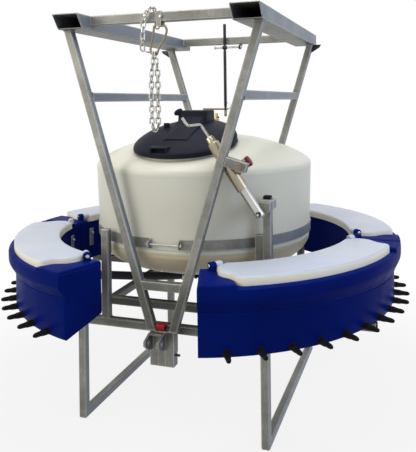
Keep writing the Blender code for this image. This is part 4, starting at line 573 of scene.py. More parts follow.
def spun(profile, steps, matrix=Matrix(), closed=False):
    """A bmesh turned about the matrix's Z axis from a profile of (r, z) points."""
    bm = bmesh.new()
    verts = [bm.verts.new((r, 0, z)) for r, z in profile]
    pairs = list(zip(verts, verts[1:]))
    if closed:
        pairs.append((verts[-1], verts[0]))
    edges = [bm.edges.new(pair) for pair in pairs]
    bmesh.ops.spin(bm, geom=verts + edges, cent=(0, 0, 0), axis=Z_AXIS, angle=2 * pi, steps=steps, use_merge=True)
    bmesh.ops.remove_doubles(bm, verts=bm.verts, dist=1e-5)
    bmesh.ops.recalc_face_normals(bm, faces=bm.faces)
    bmesh.ops.transform(bm, matrix=matrix, verts=bm.verts)
    return bm


def swept(profile, start, end, steps):
    """A bmesh swept about the tank's axis from a closed section of (r, z) points."""
    bm = bmesh.new()
    face = bm.faces.new([bm.verts.new(around(start, r, z)) for r, z in profile])
    geometry = [face, *face.edges, *face.verts]
    bmesh.ops.spin(bm, geom=geometry, cent=(0, 0, 0), axis=Z_AXIS, angle=end - start, steps=steps)
    bmesh.ops.recalc_face_normals(bm, faces=bm.faces)
    return bm


def bevel(bm, edges, width, segments):
    settings = {"segments": segments, "profile": 0.5, "affect": "EDGES", "clamp_overlap": True, "material": -1}
    bmesh.ops.bevel(bm, geom=edges, offset=width, **settings)


def corners_of(bm, degrees):
    """The edges of a bmesh whose faces turn by more than an angle."""
    return [edge for edge in bm.edges if edge.calc_face_angle(0) > radians(degrees)]


def cylinder(start, end, radius, sides=24, edge=0.0):
    """A bmesh rod between two points, with its end edges bevelled."""
    start, end = Vector(start), Vector(end)
    matrix = aimed((start + end) / 2, end - start)
    depth = (end - start).length
    bm = bmesh.new()
    bmesh.ops.create_cone(
        bm, cap_ends=True, segments=sides, radius1=radius, radius2=radius, depth=depth, matrix=matrix
    )
    if edge:
        bevel(bm, corners_of(bm, 60), edge, 2)
    return bm


def rod(centre, half, radius, sides=24, edge=0.0):
    """A bmesh rod that reaches as far on both sides of its centre."""
    centre, half = Vector(centre), Vector(half)
    return cylinder(centre - half, centre + half, radius, sides, edge)


def block(low, high, edge=0.0, matrix=Matrix()):
    """A bmesh box with rounded edges."""
    low, high = Vector(low), Vector(high)
    bm = bmesh.new()
    bmesh.ops.create_cube(bm, size=1, matrix=Matrix.Translation((low + high) / 2) @ Matrix.Diagonal((*(high - low), 1)))
    if edge:
        bevel(bm, list(bm.edges), edge, 2)
    bmesh.ops.transform(bm, matrix=matrix, verts=bm.verts)
    return bm


def slab(outline, matrix, thickness, edge=0.0, segments=2):
    """A bmesh plate from a flat outline, raised along the matrix's Z axis."""
    bm = bmesh.new()
    face = bm.faces.new([bm.verts.new((x, y, 0)) for x, y in outline])
    raised = bmesh.ops.extrude_face_region(bm, geom=[face])["geom"]
    top = [item for item in raised if isinstance(item, bmesh.types.BMVert)]
    bmesh.ops.translate(bm, verts=top, vec=(0, 0, thickness))
    bmesh.ops.recalc_face_normals(bm, faces=bm.faces)
    if edge:
        bevel(bm, corners_of(bm, 28), edge, segments)
    bmesh.ops.transform(bm, matrix=matrix, verts=bm.verts)
    return bm


def rims_above(bm, z):
    """The edges of a bmesh that lie at or above a height."""
    return [edge for edge in bm.edges if all(vert.co.z > z - 1e-4 for vert in edge.verts)]


def pipe(points, radius, sides=12, cyclic=False, radii=None):
    """A bmesh tube along points, with closed ends."""
    curve = bpy.data.curves.new("pipe_guide", "CURVE")
    curve.dimensions = "3D"
    curve.bevel_depth = radius
    curve.bevel_resolution = max(sides // 4 - 1, 0)
    curve.use_fill_caps = not cyclic
    spline = curve.splines.new("POLY")
    spline.points.add(len(points) - 1)
    for index, (point, co) in enumerate(zip(spline.points, points)):
        point.co = (*co, 1)
        point.radius = radii[index] if radii else 1
    spline.use_cyclic_u = cyclic
    guide = bpy.data.objects.new("pipe_guide", curve)
    bpy.context.scene.collection.objects.link(guide)
    bpy.context.view_layer.update()
    graph = bpy.context.evaluated_depsgraph_get()
    mesh = bpy.data.meshes.new_from_object(guide.evaluated_get(graph))
    bm = bmesh.new()
    bm.from_mesh(mesh)
    bmesh.ops.remove_doubles(bm, verts=bm.verts, dist=1e-6)
    bmesh.ops.recalc_face_normals(bm, faces=bm.faces)
    bpy.data.objects.remove(guide, do_unlink=True)
    bpy.data.curves.remove(curve)
    bpy.data.meshes.remove(mesh)
    return bm


def gathered(parts):
    """Several bmeshes in one."""
    whole = bmesh.new()
    for part in parts:
        mesh = bpy.data.meshes.new("gathered")
        part.to_mesh(mesh)
        part.free()
        whole.from_mesh(mesh)
        bpy.data.meshes.remove(mesh)
    return whole


MIRRORS = (
    ("front_right", Matrix.Identity(4)),
    ("front_left", Matrix.Scale(-1, 4, X_AXIS)),
    ("rear_right", Matrix.Scale(-1, 4, Y_AXIS)),
    ("rear_left", Matrix.Scale(-1, 4, X_AXIS) @ Matrix.Scale(-1, 4, Y_AXIS)),
)


def mirror(bm, flip):
    bmesh.ops.transform(bm, matrix=flip, verts=bm.verts)
    if flip.determinant() < 0:
        bmesh.ops.reverse_faces(bm, faces=bm.faces)
    return bm


def mirrored(*sources):
    """Four mirrored copies of each source: an object, its finish, a name, its body and the node that it stands for."""
    for quarter, flip in MIRRORS:
        for obj, finish_name, name, body, node in sources:
            bm = bmesh.new()
            bm.from_mesh(obj.data)
            stands_for = [f"{quarter}_{node}"] if node else []
            made(f"{quarter}_{name}", mirror(bm, flip), finish_name, body.format(quarter), *stands_for)
    for obj, *_ in sources:
        bpy.data.objects.remove(obj, do_unlink=True)


def dressed(node, finish_name, sharp=50):
    """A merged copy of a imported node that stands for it, with broad faces that keep their own normals."""
    source = frame["nodes"][node]
    bm = bmesh.new()
    bm.from_mesh(source.data)
    bmesh.ops.remove_doubles(bm, verts=bm.verts, dist=2e-5)
    bmesh.ops.dissolve_limit(bm, angle_limit=radians(0.6), verts=bm.verts, edges=bm.edges)
    obj = piece(node + "_piece", bm, finish_name, sharp)
    settle(obj, source["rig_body"], [node])
    obj.modifiers.new("Weighted normals", "WEIGHTED_NORMAL").keep_sharp = True
    return obj


def paint(obj, finish_name, chosen):
    """Gives another finish to the faces whose centre passes a test."""
    obj.data.materials.append(finish(finish_name))
    for polygon in obj.data.polygons:
        if chosen(polygon.center):
            polygon.material_index = len(obj.data.materials) - 1


def tank_outline(inset):
    """Half section of the tank from top to bottom, moved inwards by inset."""
    rise, drop = TANK_TOP_Z - TANK_SHOULDER_Z, TANK_LOW_Z - TANK_BOTTOM_Z
    shares = ((0, 1), (0.28, 0.965), (0.52, 0.83), (0.76, 0.56), (0.92, 0.28), (0.985, 0.09))
    dome = [(TANK_R * r, TANK_SHOULDER_Z + rise * z) for r, z in shares]
    dome += [(TANK_R, TANK_SHOULDER_Z - 0.008), (TANK_R - 0.0006, TANK_SHOULDER_Z - 0.03)]
    groove = ((0.0022, 0.027), (-0.0010, 0.023), (-0.0010, 0.019), (0.0008, 0.016))
    wall = [] if inset else [(TANK_LOW_R + r, TANK_LOW_Z + z) for r, z in groove]
    shares = ((0.990, 0.88), (0.93, 0.63), (0.80, 0.38), (0.50, 0.12), (0.14, 0.0), (0, 0))
    cone = [(TANK_LOW_R + 0.0004, TANK_LOW_Z + 0.012), (TANK_LOW_R - 0.001, TANK_LOW_Z)]
    cone += [(TANK_LOW_R * r, TANK_BOTTOM_Z + drop * z) for r, z in shares]
    line = flat(eased(dome, 5)) + wall + flat(eased(cone, 5))
    middle = (TANK_TOP_Z + TANK_BOTTOM_Z) / 2
    along, tall = 1 - inset / TANK_R, 1 - 2 * inset / (TANK_TOP_Z - TANK_BOTTOM_Z)
    return [(max(r, 0) * along, middle + (z - middle) * tall) for r, z in line]


def build_tank():
    """The moulded tank with its neck, hinge ears and outlet."""
    tank = piece("tank", spun(tank_outline(0), bpy.context.scene.feeder_details.tank_steps), "tank")
    neck = cylinder(on_hatch(0, 0, -NECK_DEPTH), on_hatch(0, 0, NECK_HEIGHT), NECK_R, 72)
    spigot = cylinder((0, 0, TANK_BOTTOM_Z + 0.02), (0, 0, VALVE_TOP_Z + GAP), 0.030, 40)
    mouth = cylinder(on_hatch(0, 0, -NECK_DEPTH - 0.05), on_hatch(0, 0, NECK_HEIGHT + 0.05), NECK_R - 0.009, 72)
    carve(tank, (neck, spigot), "UNION", "tank")
    carve(tank, (spun(tank_outline(TANK_WALL), 72), mouth), "DIFFERENCE", "tank")
    smooth(tank, 30)
    settle(tank, "base", ["tank_shell"])
    hinge, foot, round_r = HATCH_HINGE, TANK_TOP_Z - 0.03, 0.014
    outline = [(hinge.y - 0.020, foot), (hinge.y + 0.026, foot)]
    for angle in steps_from(-0.2, pi + 0.2, 8):
        outline.append((hinge.y + round_r * cos(angle), hinge.z + 0.002 + round_r * sin(angle)))
    xs = [side * (HATCH_HALF + 0.007) - 0.006 for side in (-1, 1)]
    made("hatch_ears", gathered([slab(outline, side_matrix(x), 0.012, 0.0015) for x in xs]), "tank", "base")
    reach = X_AXIS * (HATCH_HALF + 0.017)
    pin = [rod(hinge, reach, 0.006, edge=0.001)]
    for side in (-1, 1):
        end = hinge + reach * side
        pin.append(cylinder(end - X_AXIS * side * 0.004, end, 0.010, edge=0.001))
    made("hatch_pin", gathered(pin), "zinc", "base")


def hatch_panel(lid, front):
    """The raised panel of the crown, from the hood down to the front, laid on the lid's own surface."""
    down = HATCH_FRAME.to_3x3() @ -Z_AXIS
    rows = []
    panel = bmesh.new()
    for share in steps_from(0, 1, 14):
        y = front + 0.004 - HATCH_PANEL_LENGTH * share
        half = HATCH_HALF * (0.94 - 0.16 * share)
        lift = 0.006 + 0.034 * (1 - share) ** 2.2
        row = [(-half, -0.010), (-half, lift * 0.5), (-half + 0.010, lift)]
        row += [(-x, rise) for x, rise in reversed(row)]
        verts = []
        for x, rise in row:
            place = HATCH_FRAME.inverted() @ lid.ray_cast(on_hatch(x, y, 0.5), down)[1]
            verts.append(panel.verts.new(on_hatch(x, y, place.z + rise)))
        rows.append(verts)
    for before, after in zip(rows, rows[1:]):
        for index, following in zip(range(6), (1, 2, 3, 4, 5, 0)):
            panel.faces.new((before[index], before[following], after[following], after[index]))
    panel.faces.new(rows[0])
    panel.faces.new(rows[-1])
    bmesh.ops.recalc_face_normals(panel, faces=panel.faces)
    return panel


def build_hatch():
    """The leaned crown of the lid with its hood, latch recess, boss and hinge barrel."""
    shares = ((0, 1.0), (0.25, 0.975), (0.50, 0.88), (0.72, 0.70), (0.88, 0.46), (0.965, 0.22), (0.992, 0.07))
    crown, wall = HATCH_RISE - HATCH_SKIRT, HATCH_WALL
    rings = [(HATCH_R * max(p.x, 0), HATCH_SKIRT + crown * p.y, HATCH_APEX_BACK * p.y) for p in eased(shares, 5)]
    inner = [(r * (1 - wall / HATCH_R), z - wall, back) for r, z, back in reversed(rings)]
    skirt = ((0, HATCH_SKIRT - 0.004), (0.003, HATCH_SKIRT - 0.007), (0.003, 0.001), (0.001, 0))
    rings += [(HATCH_R + r, z, 0) for r, z in skirt]
    rings += [(HATCH_R - wall, 0, 0), (HATCH_R - wall, HATCH_SKIRT - 0.003, 0), *inner]
    bm = spun([(r, z) for r, z, _ in rings], 96)
    for vert in bm.verts:
        height = vert.co.z
        r = hypot(vert.co.x, vert.co.y)
        vert.co.y += min(rings, key=lambda ring: (ring[0] - r) ** 2 * 4 + (ring[1] - height) ** 2)[2]
        if height < HATCH_SKIRT - 0.005:
            vert.co.z -= HATCH_FRONT_DROP * max(-vert.co.y / HATCH_R, 0) ** 0.5
    bmesh.ops.transform(bm, matrix=HATCH_FRAME, verts=bm.verts)
    lid = piece("hatch", bm, "black")
    low, high = (-0.090, -HATCH_R + 0.008, NECK_HEIGHT + 0.002), (0.004, -HATCH_R + 0.050, HATCH_SKIRT + 0.026)
    carve(lid, [block(low, high, 0.003, HATCH_FRAME)], "UNION", "black")
    low, high = (-0.080, -HATCH_R - 0.020, HATCH_SKIRT - 0.001), (-0.006, -HATCH_R + 0.036, HATCH_SKIRT + 0.021)
    carve(lid, [block(low, high, 0.002, HATCH_FRAME)], "DIFFERENCE", "black")
    smooth(lid, 32)
    settle(lid, "hatch", ["hatch_lid"])
    rear = HATCH_R - 0.006
    front = rear - HATCH_HOOD_LENGTH
    hood = [(front - 0.030, HATCH_RISE - 0.030), (rear - 0.004, HATCH_SKIRT + 0.003)]
    hood += [(rear, HATCH_HOOD_TOP - 0.020), (front, HATCH_HOOD_TOP)]
    arm_front, arm_back = HATCH_R - 0.0045, HATCH_R + 0.032
    arm = [(arm_front, HATCH_SKIRT - 0.012), (arm_back, 0.013), (arm_back, 0.035), (arm_front, 0.064)]
    left = HATCH_FRAME @ side_matrix(-HATCH_HALF)
    boss = lid.ray_cast(Vector((*HATCH_BOSS, 2.0)), -Z_AXIS)[1]
    trims = [
        slab(hood, left, 2 * HATCH_HALF, 0.007, 3),
        hatch_panel(lid, front),
        slab(arm, left, 2 * HATCH_HALF, 0.002),
        rod(HATCH_HINGE, X_AXIS * HATCH_HALF, 0.014, 40, edge=0.001),
        cylinder(boss - Z_AXIS * 0.012, boss + Z_AXIS * 0.024, 0.016, 40, edge=0.004),
    ]
    made("hatch_trims", gathered(trims), "black", "hatch")


def build_tank_fitting():
    """Brass air valve with a hexagon and a black lever."""
    low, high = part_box("tank_fitting")
    middle, top = (low + high) / 2, high.z
    x, y = middle.x, middle.y
    place = Matrix.Translation((x, y, 0))
    stem = [(r, low.z + z) for r, z in ((0, 0), (0.022, 0), (0.022, 0.006), (0.019, 0.010), (0.012, 0.012))]
    stem += [(0.011, top - 0.060), (0.014, top - 0.058), (0, top - 0.058)]
    made("air_valve", spun(stem, 32, place), "black", "base", "tank_fitting")
    upper = ((0, 0.0575), (0.014, 0.0575), (0.008, 0.034), (0.008, 0.004), (0.006, 0), (0, 0))
    nut = cylinder((x, y, top - 0.057), (x, y, top - 0.034), 0.0168, 6, edge=0.0012)
    brass = gathered([spun([(r, top - drop) for r, drop in upper], 32, place), nut])
    made("air_valve_top", brass, "brass", "base")
    lever = block((x - 0.005, y - 0.006, top - 0.030), (x + 0.016, y + 0.006, top - 0.020), 0.003)
    made("air_valve_lever", lever, "black", "base")


def build_band():
    """The two halves of the steel band, their bolted ears and the tensioner."""
    low, high = BAND_Z - BAND_HEIGHT / 2, BAND_Z + BAND_HEIGHT / 2
    inner, outer = BAND_INNER_R, BAND_INNER_R + BAND_THICKNESS
    rear, tall = pi - radians(0.35), BAND_HEIGHT - 0.004
    ear = [(0, 0), (0.036, 0.006), (0.036, tall - 0.006), (0, tall)]
    for node, start, end in (("band_left", -rear, radians(-6.4)), ("band_right", radians(7.2), rear)):
        parts = [swept([(inner, low), (outer, low), (outer, high), (inner, high)], start, end, 96)]
        for angle, inward in ((start, 1), (end, -1)):
            out, along = around(angle, 1, 0), around(angle + pi / 2, 1, 0) * inward
            corner = around(angle, inner + 0.001, low + 0.002) + along * 0.0006
            parts.append(slab(ear, axes(corner, out, Z_AXIS, along), 0.006, 0.0012))
        made(node + "_piece", gathered(parts), "galvanised", "base", node)
    dressed("band_tensioner", "zinc")


def trough_profile():
    """Section of the moulding with its groove, rounded flare and rim."""
    seam, lower, outer = TROUGH_SEAM_Z, TROUGH_LOWER_R, TROUGH_OUTER_R
    corner, low, rim = TROUGH_CORNER, TROUGH_OUTER_LOW_Z, TROUGH_RIM_Z
    flare = [(lower + 0.0045, seam), (lower + 0.0150, seam + 0.026), (outer - 0.0075, seam + 0.052)]
    flare += [(outer - 0.0012, seam + 0.070), (outer, seam + 0.090)]
    section = [(TROUGH_INNER_R, rim), (TROUGH_INNER_R, TROUGH_INNER_LOW_Z), (lower - corner, low)]
    section += [(lower - corner * 0.3, low + corner * 0.3), (lower, low + corner), (lower, seam - 0.0095)]
    section += [(lower - 0.0030, seam - 0.0075), (lower - 0.0030, seam - 0.0012), *flat(eased(flare, 3))]
    section += [(outer, rim - 0.012), (outer - 0.002, rim - 0.005), (outer - 0.007, rim - 0.001), (outer - 0.012, rim)]
    return section


def floor_z(r):
    """Top of the floor inside at a radius."""
    slope = (TROUGH_INNER_LOW_Z - TROUGH_OUTER_LOW_Z) / (TROUGH_LOWER_R - TROUGH_CORNER - TROUGH_INNER_R)
    return TROUGH_INNER_LOW_Z - slope * (r - TROUGH_INNER_R) + TROUGH_WALL


def deck_edge(share, way, end):
    """Angle of the S-shaped line between an end deck and the lid."""
    bend = 1 / (1 + exp(-(share - 0.56) * 16))
    return end + way * (DECK_ANGLE + 0.0055 + DECK_FLARE_ANGLE * bend)


def deck(end, way):
    """The raised end of a trough, from its end face to the lid's edge."""
    inner, outer = TROUGH_INNER_R + 0.0015, TROUGH_OUTER_R - 0.0015
    shares = steps_from(0, 1, 18)
    angles = [deck_edge(share, way, end) - way * DECK_LAP for share in shares]
    outline = [around(angle, inner + (outer - inner) * share, 0) for angle, share in zip(angles, shares)]
    near = end + way * 0.0012
    outline += [around(angle, outer, 0) for angle in steps_from(angles[-1], near, 5)[1:]]
    outline += [around(angle, inner, 0) for angle in steps_from(near, angles[0], 5)[:-1]]
    low = TROUGH_RIM_Z - 0.012
    bm = slab(flat(outline), Matrix.Translation((0, 0, low)), TROUGH_DECK_Z - low)
    bevel(bm, rims_above(bm, TROUGH_DECK_Z), 0.010, 4)
    return bm


def hinge_line():
    """Both hinge centres of the front right trough, and the direction between them."""
    start = around(TROUGH_FIRST_ANGLE + LUG_ANGLE, LUG_R, HINGE_Z)
    end = around(TROUGH_LAST_ANGLE - LUG_ANGLE, LUG_R, HINGE_Z)
    return start, end, (end - start).normalized()


def build_trough_shell():
    """The front right moulding, hollow, with its compartments and end decks."""
    first, last = TROUGH_FIRST_ANGLE, TROUGH_LAST_ANGLE
    steps = bpy.context.scene.feeder_details.trough_steps
    bm = swept(trough_profile(), first, last, steps)
    for vert in bm.verts:
        x, y, z = vert.co
        if hypot(x, y) < TROUGH_LOWER_R - 0.004 or z < TROUGH_OUTER_LOW_Z + 0.05:
            continue
        share = (atan2(x, -y) - first) / (last - first)
        fade = min(max((TROUGH_FLARE_TOP_Z + 0.025 - z) / 0.070, 0), 1)
        vert.co.z += TROUGH_SEAM_RISE * (1 - share) * fade
    ends = [edge for edge in corners_of(bm, 50) if abs(edge.verts[0].co.z - edge.verts[1].co.z) > 0.025]
    bevel(bm, ends, 0.004, 3)
    shell = piece("trough", bm, "navy")
    wall = TROUGH_WALL
    inner, lower, upper = TROUGH_INNER_R + wall, TROUGH_LOWER_R - wall, TROUGH_OUTER_R - wall - 0.004
    end_wall = wall / TROUGH_INNER_R
    hall_top, flare = TROUGH_RIM_Z - 0.020, TROUGH_FLARE_TOP_Z
    hall = [(inner, hall_top), (inner, DIVIDER_TOP_Z), (lower, DIVIDER_TOP_Z)]
    hall += [(lower, flare - 0.003), (upper, flare + 0.025), (upper, hall_top)]
    mouth_in, mouth_out = inner + 0.002, TROUGH_LOWER_R - 0.030
    mouth_low, mouth_top = hall_top - 0.004, TROUGH_RIM_Z + 0.02
    mouth = [(mouth_in, mouth_top), (mouth_in, mouth_low), (mouth_out, mouth_low), (mouth_out, mouth_top)]
    cell_top = DIVIDER_TOP_Z + 0.004
    cell = [(inner, cell_top), (inner, floor_z(inner)), (lower, floor_z(lower)), (lower, cell_top)]
    deck_end = DECK_ANGLE + DECK_FLARE_ANGLE + radians(1.0)
    half_cell = TEAT_PITCH_ANGLE / 2 - DIVIDER_WALL / 2 / TROUGH_INNER_R
    cells = []
    for index in range(TEATS):
        centre = TEAT_FIRST_ANGLE + index * TEAT_PITCH_ANGLE
        start, end = max(centre - half_cell, first + end_wall * 1.3), min(centre + half_cell, last - end_wall * 1.3)
        cells.append(swept(cell, start, end, 4))
    carve(shell, (deck(first, 1), deck(last, -1)), "UNION", "navy")
    hall = swept(hall, first + end_wall, last - end_wall, steps)
    mouth = swept(mouth, first + deck_end, last - deck_end, steps)
    carve(shell, (hall, mouth, gathered(cells)), "DIFFERENCE", "navy")
    smooth(shell, 30)
    return shell


def teat(index):
    """A rubber teat with a collar at its root and a rounded mouth, drooping a little."""
    angle = TEAT_FIRST_ANGLE + index * TEAT_PITCH_ANGLE
    root = around(angle, TROUGH_LOWER_R - 0.003, TEAT_Z)
    out = around(angle, 1, 0) * cos(TEAT_DROOP) - Z_AXIS * sin(TEAT_DROOP)
    line = ((0.0160, 0.004), (0.0150, 0.020), (0.0142, 0.032), (0.0118, 0.042))
    line += ((0.0112, 0.056), (0.0100, 0.068), (0.0062, 0.0765))
    profile = [(0, 0), (0.0175, 0), (0.0175, 0.003), *flat(eased(line, 2))]
    profile += [(0.0035, TEAT_LENGTH), (0.0022, TEAT_LENGTH - 0.004), (0, TEAT_LENGTH - 0.004)]
    return spun(profile, 18, aimed(root, out))


def lugs():
    """Round lugs on feet at both ends of the trough, and their pins."""
    start, end, along = hinge_line()
    across = Vector((-along.y, along.x, 0))
    long, wide = (LUG_LENGTH - 0.003) / 2, LUG_RADIUS * 0.93
    low = TROUGH_DECK_Z - 0.006
    parts, pins = [], []
    for centre, inward in ((start, along), (end, -along)):
        parts.append(rod(centre, inward * LUG_LENGTH / 2, LUG_RADIUS, 40, edge=0.002))
        corners = [centre + along * a * long + across * b * wide for a, b in ((-1, -1), (1, -1), (1, 1), (-1, 1))]
        parts.append(slab(flat(corners), Matrix.Translation((0, 0, low)), centre.z - low, 0.002))
        outside = centre - inward * (LUG_LENGTH / 2 + 0.006)
        inside = centre + inward * (LUG_LENGTH / 2 + KNUCKLE_GAP + KNUCKLE_LENGTH * 0.8)
        pins.append(cylinder(outside, inside, HINGE_PIN_R, 20, edge=0.001))
        pins.append(cylinder(outside - inward * 0.001, outside + inward * 0.004, HINGE_PIN_R + 0.003, 20, edge=0.001))
    return gathered(parts), gathered(pins)


def build_troughs():
    """Four mirrored troughs, each with its teats, hinge lugs and pins."""
    shell = build_trough_shell()
    teats = piece("teats", gathered([teat(index) for index in range(TEATS)]), "rubber")
    lug_mesh, pin_mesh = lugs()
    mirrored(
        (shell, "navy", "trough_shell", "base", "trough"),
        (teats, "rubber", "teats", "base", ""),
        (piece("lugs", lug_mesh, "navy"), "navy", "hinge_lugs", "base", ""),
        (piece("pins", pin_mesh, "zinc"), "zinc", "hinge_pins", "base", ""),
    )


def corner_curve(start, corner, end):
    """Points of a rounded corner, without its ends."""
    shares = steps_from(0, 1, 6)[1:-1]
    return [start.lerp(corner, share).lerp(corner.lerp(end, share), share) for share in shares]


def lid_outline():
    """Plan of the front right lid: two arcs joined by S-shaped ends with rounded corners."""
    first, last = TROUGH_FIRST_ANGLE, TROUGH_LAST_ANGLE
    width = TROUGH_OUTER_R - 0.007 - TROUGH_INNER_R
    rs = steps_from(LUG_R + 0.012, LID_OUTER_R - LID_CORNER, 16)
    lines = []
    for end, way in ((first, 1), (last, -1)):
        lines.append([around(deck_edge((r - TROUGH_INNER_R) / width, way, end), r, 0) for r in rs])
    angles = [atan2(line[-1].x, -line[-1].y) for line in lines]
    corners = [around(angle, LID_OUTER_R, 0) for angle in angles]
    turn = LID_CORNER / LID_OUTER_R
    arc = [around(angle, LID_OUTER_R, 0) for angle in steps_from(angles[0] + turn, angles[1] - turn, 56)]
    inset = LUG_ANGLE + radians(4.4)
    inside = [around(angle, LID_INNER_R, 0) for angle in steps_from(last - inset, first + inset, 56)]
    rounds = [corner_curve(lines[0][-1], corners[0], arc[0]), corner_curve(arc[-1], corners[1], lines[1][-1])]
    return flat([*lines[0], *rounds[0], *arc, *rounds[1], *reversed(lines[1]), *inside])


def build_lids():
    """Four lids with rounded lips, a hollow underside and hinge knuckles."""
    start, end, along = hinge_line()
    bm = slab(lid_outline(), Matrix.Translation((0, 0, LID_LOW_Z)), LID_THICKNESS)
    under = min(bm.faces, key=lambda face: (face.calc_center_median().z, -face.calc_area()))
    bmesh.ops.inset_region(bm, faces=[under], thickness=0.014, depth=0.0, use_even_offset=True)
    bmesh.ops.translate(bm, verts=list(under.verts), vec=(0, 0, 0.022))
    steep = set(corners_of(bm, 60))
    bevel(bm, [edge for edge in rims_above(bm, LID_LOW_Z + LID_THICKNESS) if edge in steep], 0.010, 4)
    lid = piece("lid", bm, "lid")
    pockets, knuckles = [], []
    for point, inward in ((start, along), (end, -along)):
        reach = LUG_LENGTH / 2 + KNUCKLE_GAP * 0.75
        pockets.append(cylinder(point - inward * 0.05, point + inward * reach, LUG_RADIUS + 0.0012, 40))
        near = point + inward * (LUG_LENGTH / 2 + KNUCKLE_GAP)
        knuckles.append(cylinder(near, near + inward * KNUCKLE_LENGTH, KNUCKLE_RADIUS, 40, edge=0.003))
    carve(lid, pockets, "DIFFERENCE", "lid")
    smooth(lid, 32)
    mirrored(
        (lid, "lid", "lid_piece", "lid_{}", "lid"),
        (piece("knuckles", gathered(knuckles), "lid"), "lid", "lid_knuckles", "lid_{}", ""),
    )


SIDES = ("left", "right")
POST_NODES = ("front_left_post", "rear_left_post", "rear_right_post", "jack_post")
STEEL_NODES = (
    *(f"{side}_{name}" for name in ("skid", "side_rail", "tine_pocket", "side_brace") for side in SIDES),
    *(f"{end}_{name}" for name in ("rail", "bearer", "crossbar", "tie", "pivot_block") for end in ("front", "rear")),
    *(f"{end}_{side}_leg" for end in ("front", "rear") for side in SIDES),
    *POST_NODES,
    "jack_post_collar",
    "jack_bracket",
)


def build_steel():
    """Every tube and plate of the frame and the cradle."""
    steel = {node: dressed(node, "galvanised", sharp=30) for node in STEEL_NODES}
    for end in ("front", "rear"):
        dressed(f"{end}_pivot_pin", "zinc")
        paint(steel[f"{end}_pivot_block"], "black_steel", lambda c: c.x > 0.0605)
    dressed("red_buffer", "red")
    collar = steel["jack_post_collar"]
    low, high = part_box("jack_post_collar")
    paint(collar, "black", lambda c: c.z > high.z - 0.0155)
    paint(collar, "zinc", lambda c: c.y < low.y + 0.044 and c.z < 1.077)
    near, far = CRADLE_FRONT_Y - 0.0005, CRADLE_FRONT_Y + TUBE + 0.0005
    paint(steel["jack_bracket"], "hook_zinc", lambda c: c.y < near or c.y > far)


def leg_x(z):
    """Centre line of a V leg at a height."""
    return LEG_LOW_X + (LEG_TOP_X - LEG_LOW_X) * (z - LEG_LOW_Z) / (POCKET_LOW_Z - LEG_LOW_Z)


def bead(start, end):
    """A weld bead between two points, with the ripples of its making."""
    radius = bpy.context.scene.feeder_details.weld_radius
    start, end = Vector(start), Vector(end)
    count = max(int((end - start).length / (radius * 0.9)), 4)
    points, radii = [], []
    for index in range(count + 1):
        point = start.lerp(end, index / count)
        points.append(point + noise.noise_vector(point * 90) * radius * 0.25)
        radii.append((0.80 + 0.25 * (index % 2)) * (0.55 if index in (0, count) else 1))
    return pipe(points, radius, 8, radii=radii)


def bead_ring(x0, x1, y0, y1, z, short_x=0.0, short_y=0.0, out=0.0):
    """Four beads round the end of a tube, each shortened at both ends, and two of them moved out."""
    beads = [bead((x0 + short_x, y, z), (x1 - short_x, y, z)) for y in (y0 - out, y1 + out)]
    return beads + [bead((x, y0 + short_y, z), (x, y1 - short_y, z)) for x in (x0, x1)]


def build_welds():
    """Weld beads where the cradle's and the base's tubes meet."""
    half = TUBE / 2 * 1.041
    cradle, base = [], []
    for y0, y1 in ((CRADLE_FRONT_Y, CRADLE_FRONT_Y + TUBE), (CRADLE_REAR_Y - TUBE, CRADLE_REAR_Y)):
        for side in (-1, 1):
            for z, lift in ((POCKET_LOW_Z, -0.001), (BLOCK_TOP_Z, 0.001)):
                x0, x1 = side * (leg_x(z) - half), side * (leg_x(z) + half)
                cradle += bead_ring(x0, x1, y0, y1, z + lift, out=0.001)
            for z in TIE_Z:
                x = side * (leg_x(z) - half)
                cradle.append(bead((x, y0, z), (x, y1, z)))
            (x0, z0), (x1, z1) = [(side * (leg_x(z) - half), z) for z in (TIE_Z[0] + 0.002, TIE_Z[1] - 0.002)]
            cradle += [bead((x0, y, z0), (x1, y, z1)) for y in (y0 - 0.001, y1 + 0.001)]
            x, y = side * leg_x(BRACE_Z), y1 if y0 < 0 else y0
            cradle += [bead((x - 0.019, y, z), (x + 0.019, y, z)) for z in (1.587, 1.632)]
            cradle += [bead((x + dx, y, 1.589), (x + dx, y, 1.630)) for dx in (-0.020, 0.020)]
    low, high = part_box("rear_crossbar")
    crossbar_low_z = CROSSBAR_TOP_Z - CROSSBAR_HEIGHT
    for y0, y1 in ((CROSSBAR_FRONT_Y, CROSSBAR_FRONT_Y + TUBE), (low.y, high.y)):
        for side in (-1, 1):
            x = side * (POCKET_INNER_X - 0.001)
            cradle += [bead((x, y, crossbar_low_z + 0.002), (x, y, CROSSBAR_TOP_Z - 0.002)) for y in (y0, y1)]
            cradle.append(bead((x, y0, crossbar_low_z), (x, y1, crossbar_low_z)))
    made("cradle_welds", gathered(cradle), "galvanised", "cradle", sharp=60)
    for side in SIDES:
        low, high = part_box(f"{side}_skid")
        for y in (low.y, high.y - TUBE):
            base += bead_ring(low.x, high.x, y, y + TUBE, SKID_JOINT_Z, 0.002, 0.002)
    for node in POST_NODES:
        low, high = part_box(node)
        x0, x1 = SIDE_X if node == "jack_post" else (low.x, high.x)
        base += bead_ring(x0, x1, low.y, low.y + TUBE, low.z)
    for end in ("front", "rear"):
        low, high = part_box(f"{end}_bearer")
        for side in (-1, 1):
            x0, x1 = side * SIDE_X[0], side * SIDE_X[1]
            base += bead_ring(x0, x1, low.y, low.y + TUBE, low.z, short_x=side * 0.001)
    made("base_welds", gathered(base), "galvanised", "base", sharp=60)


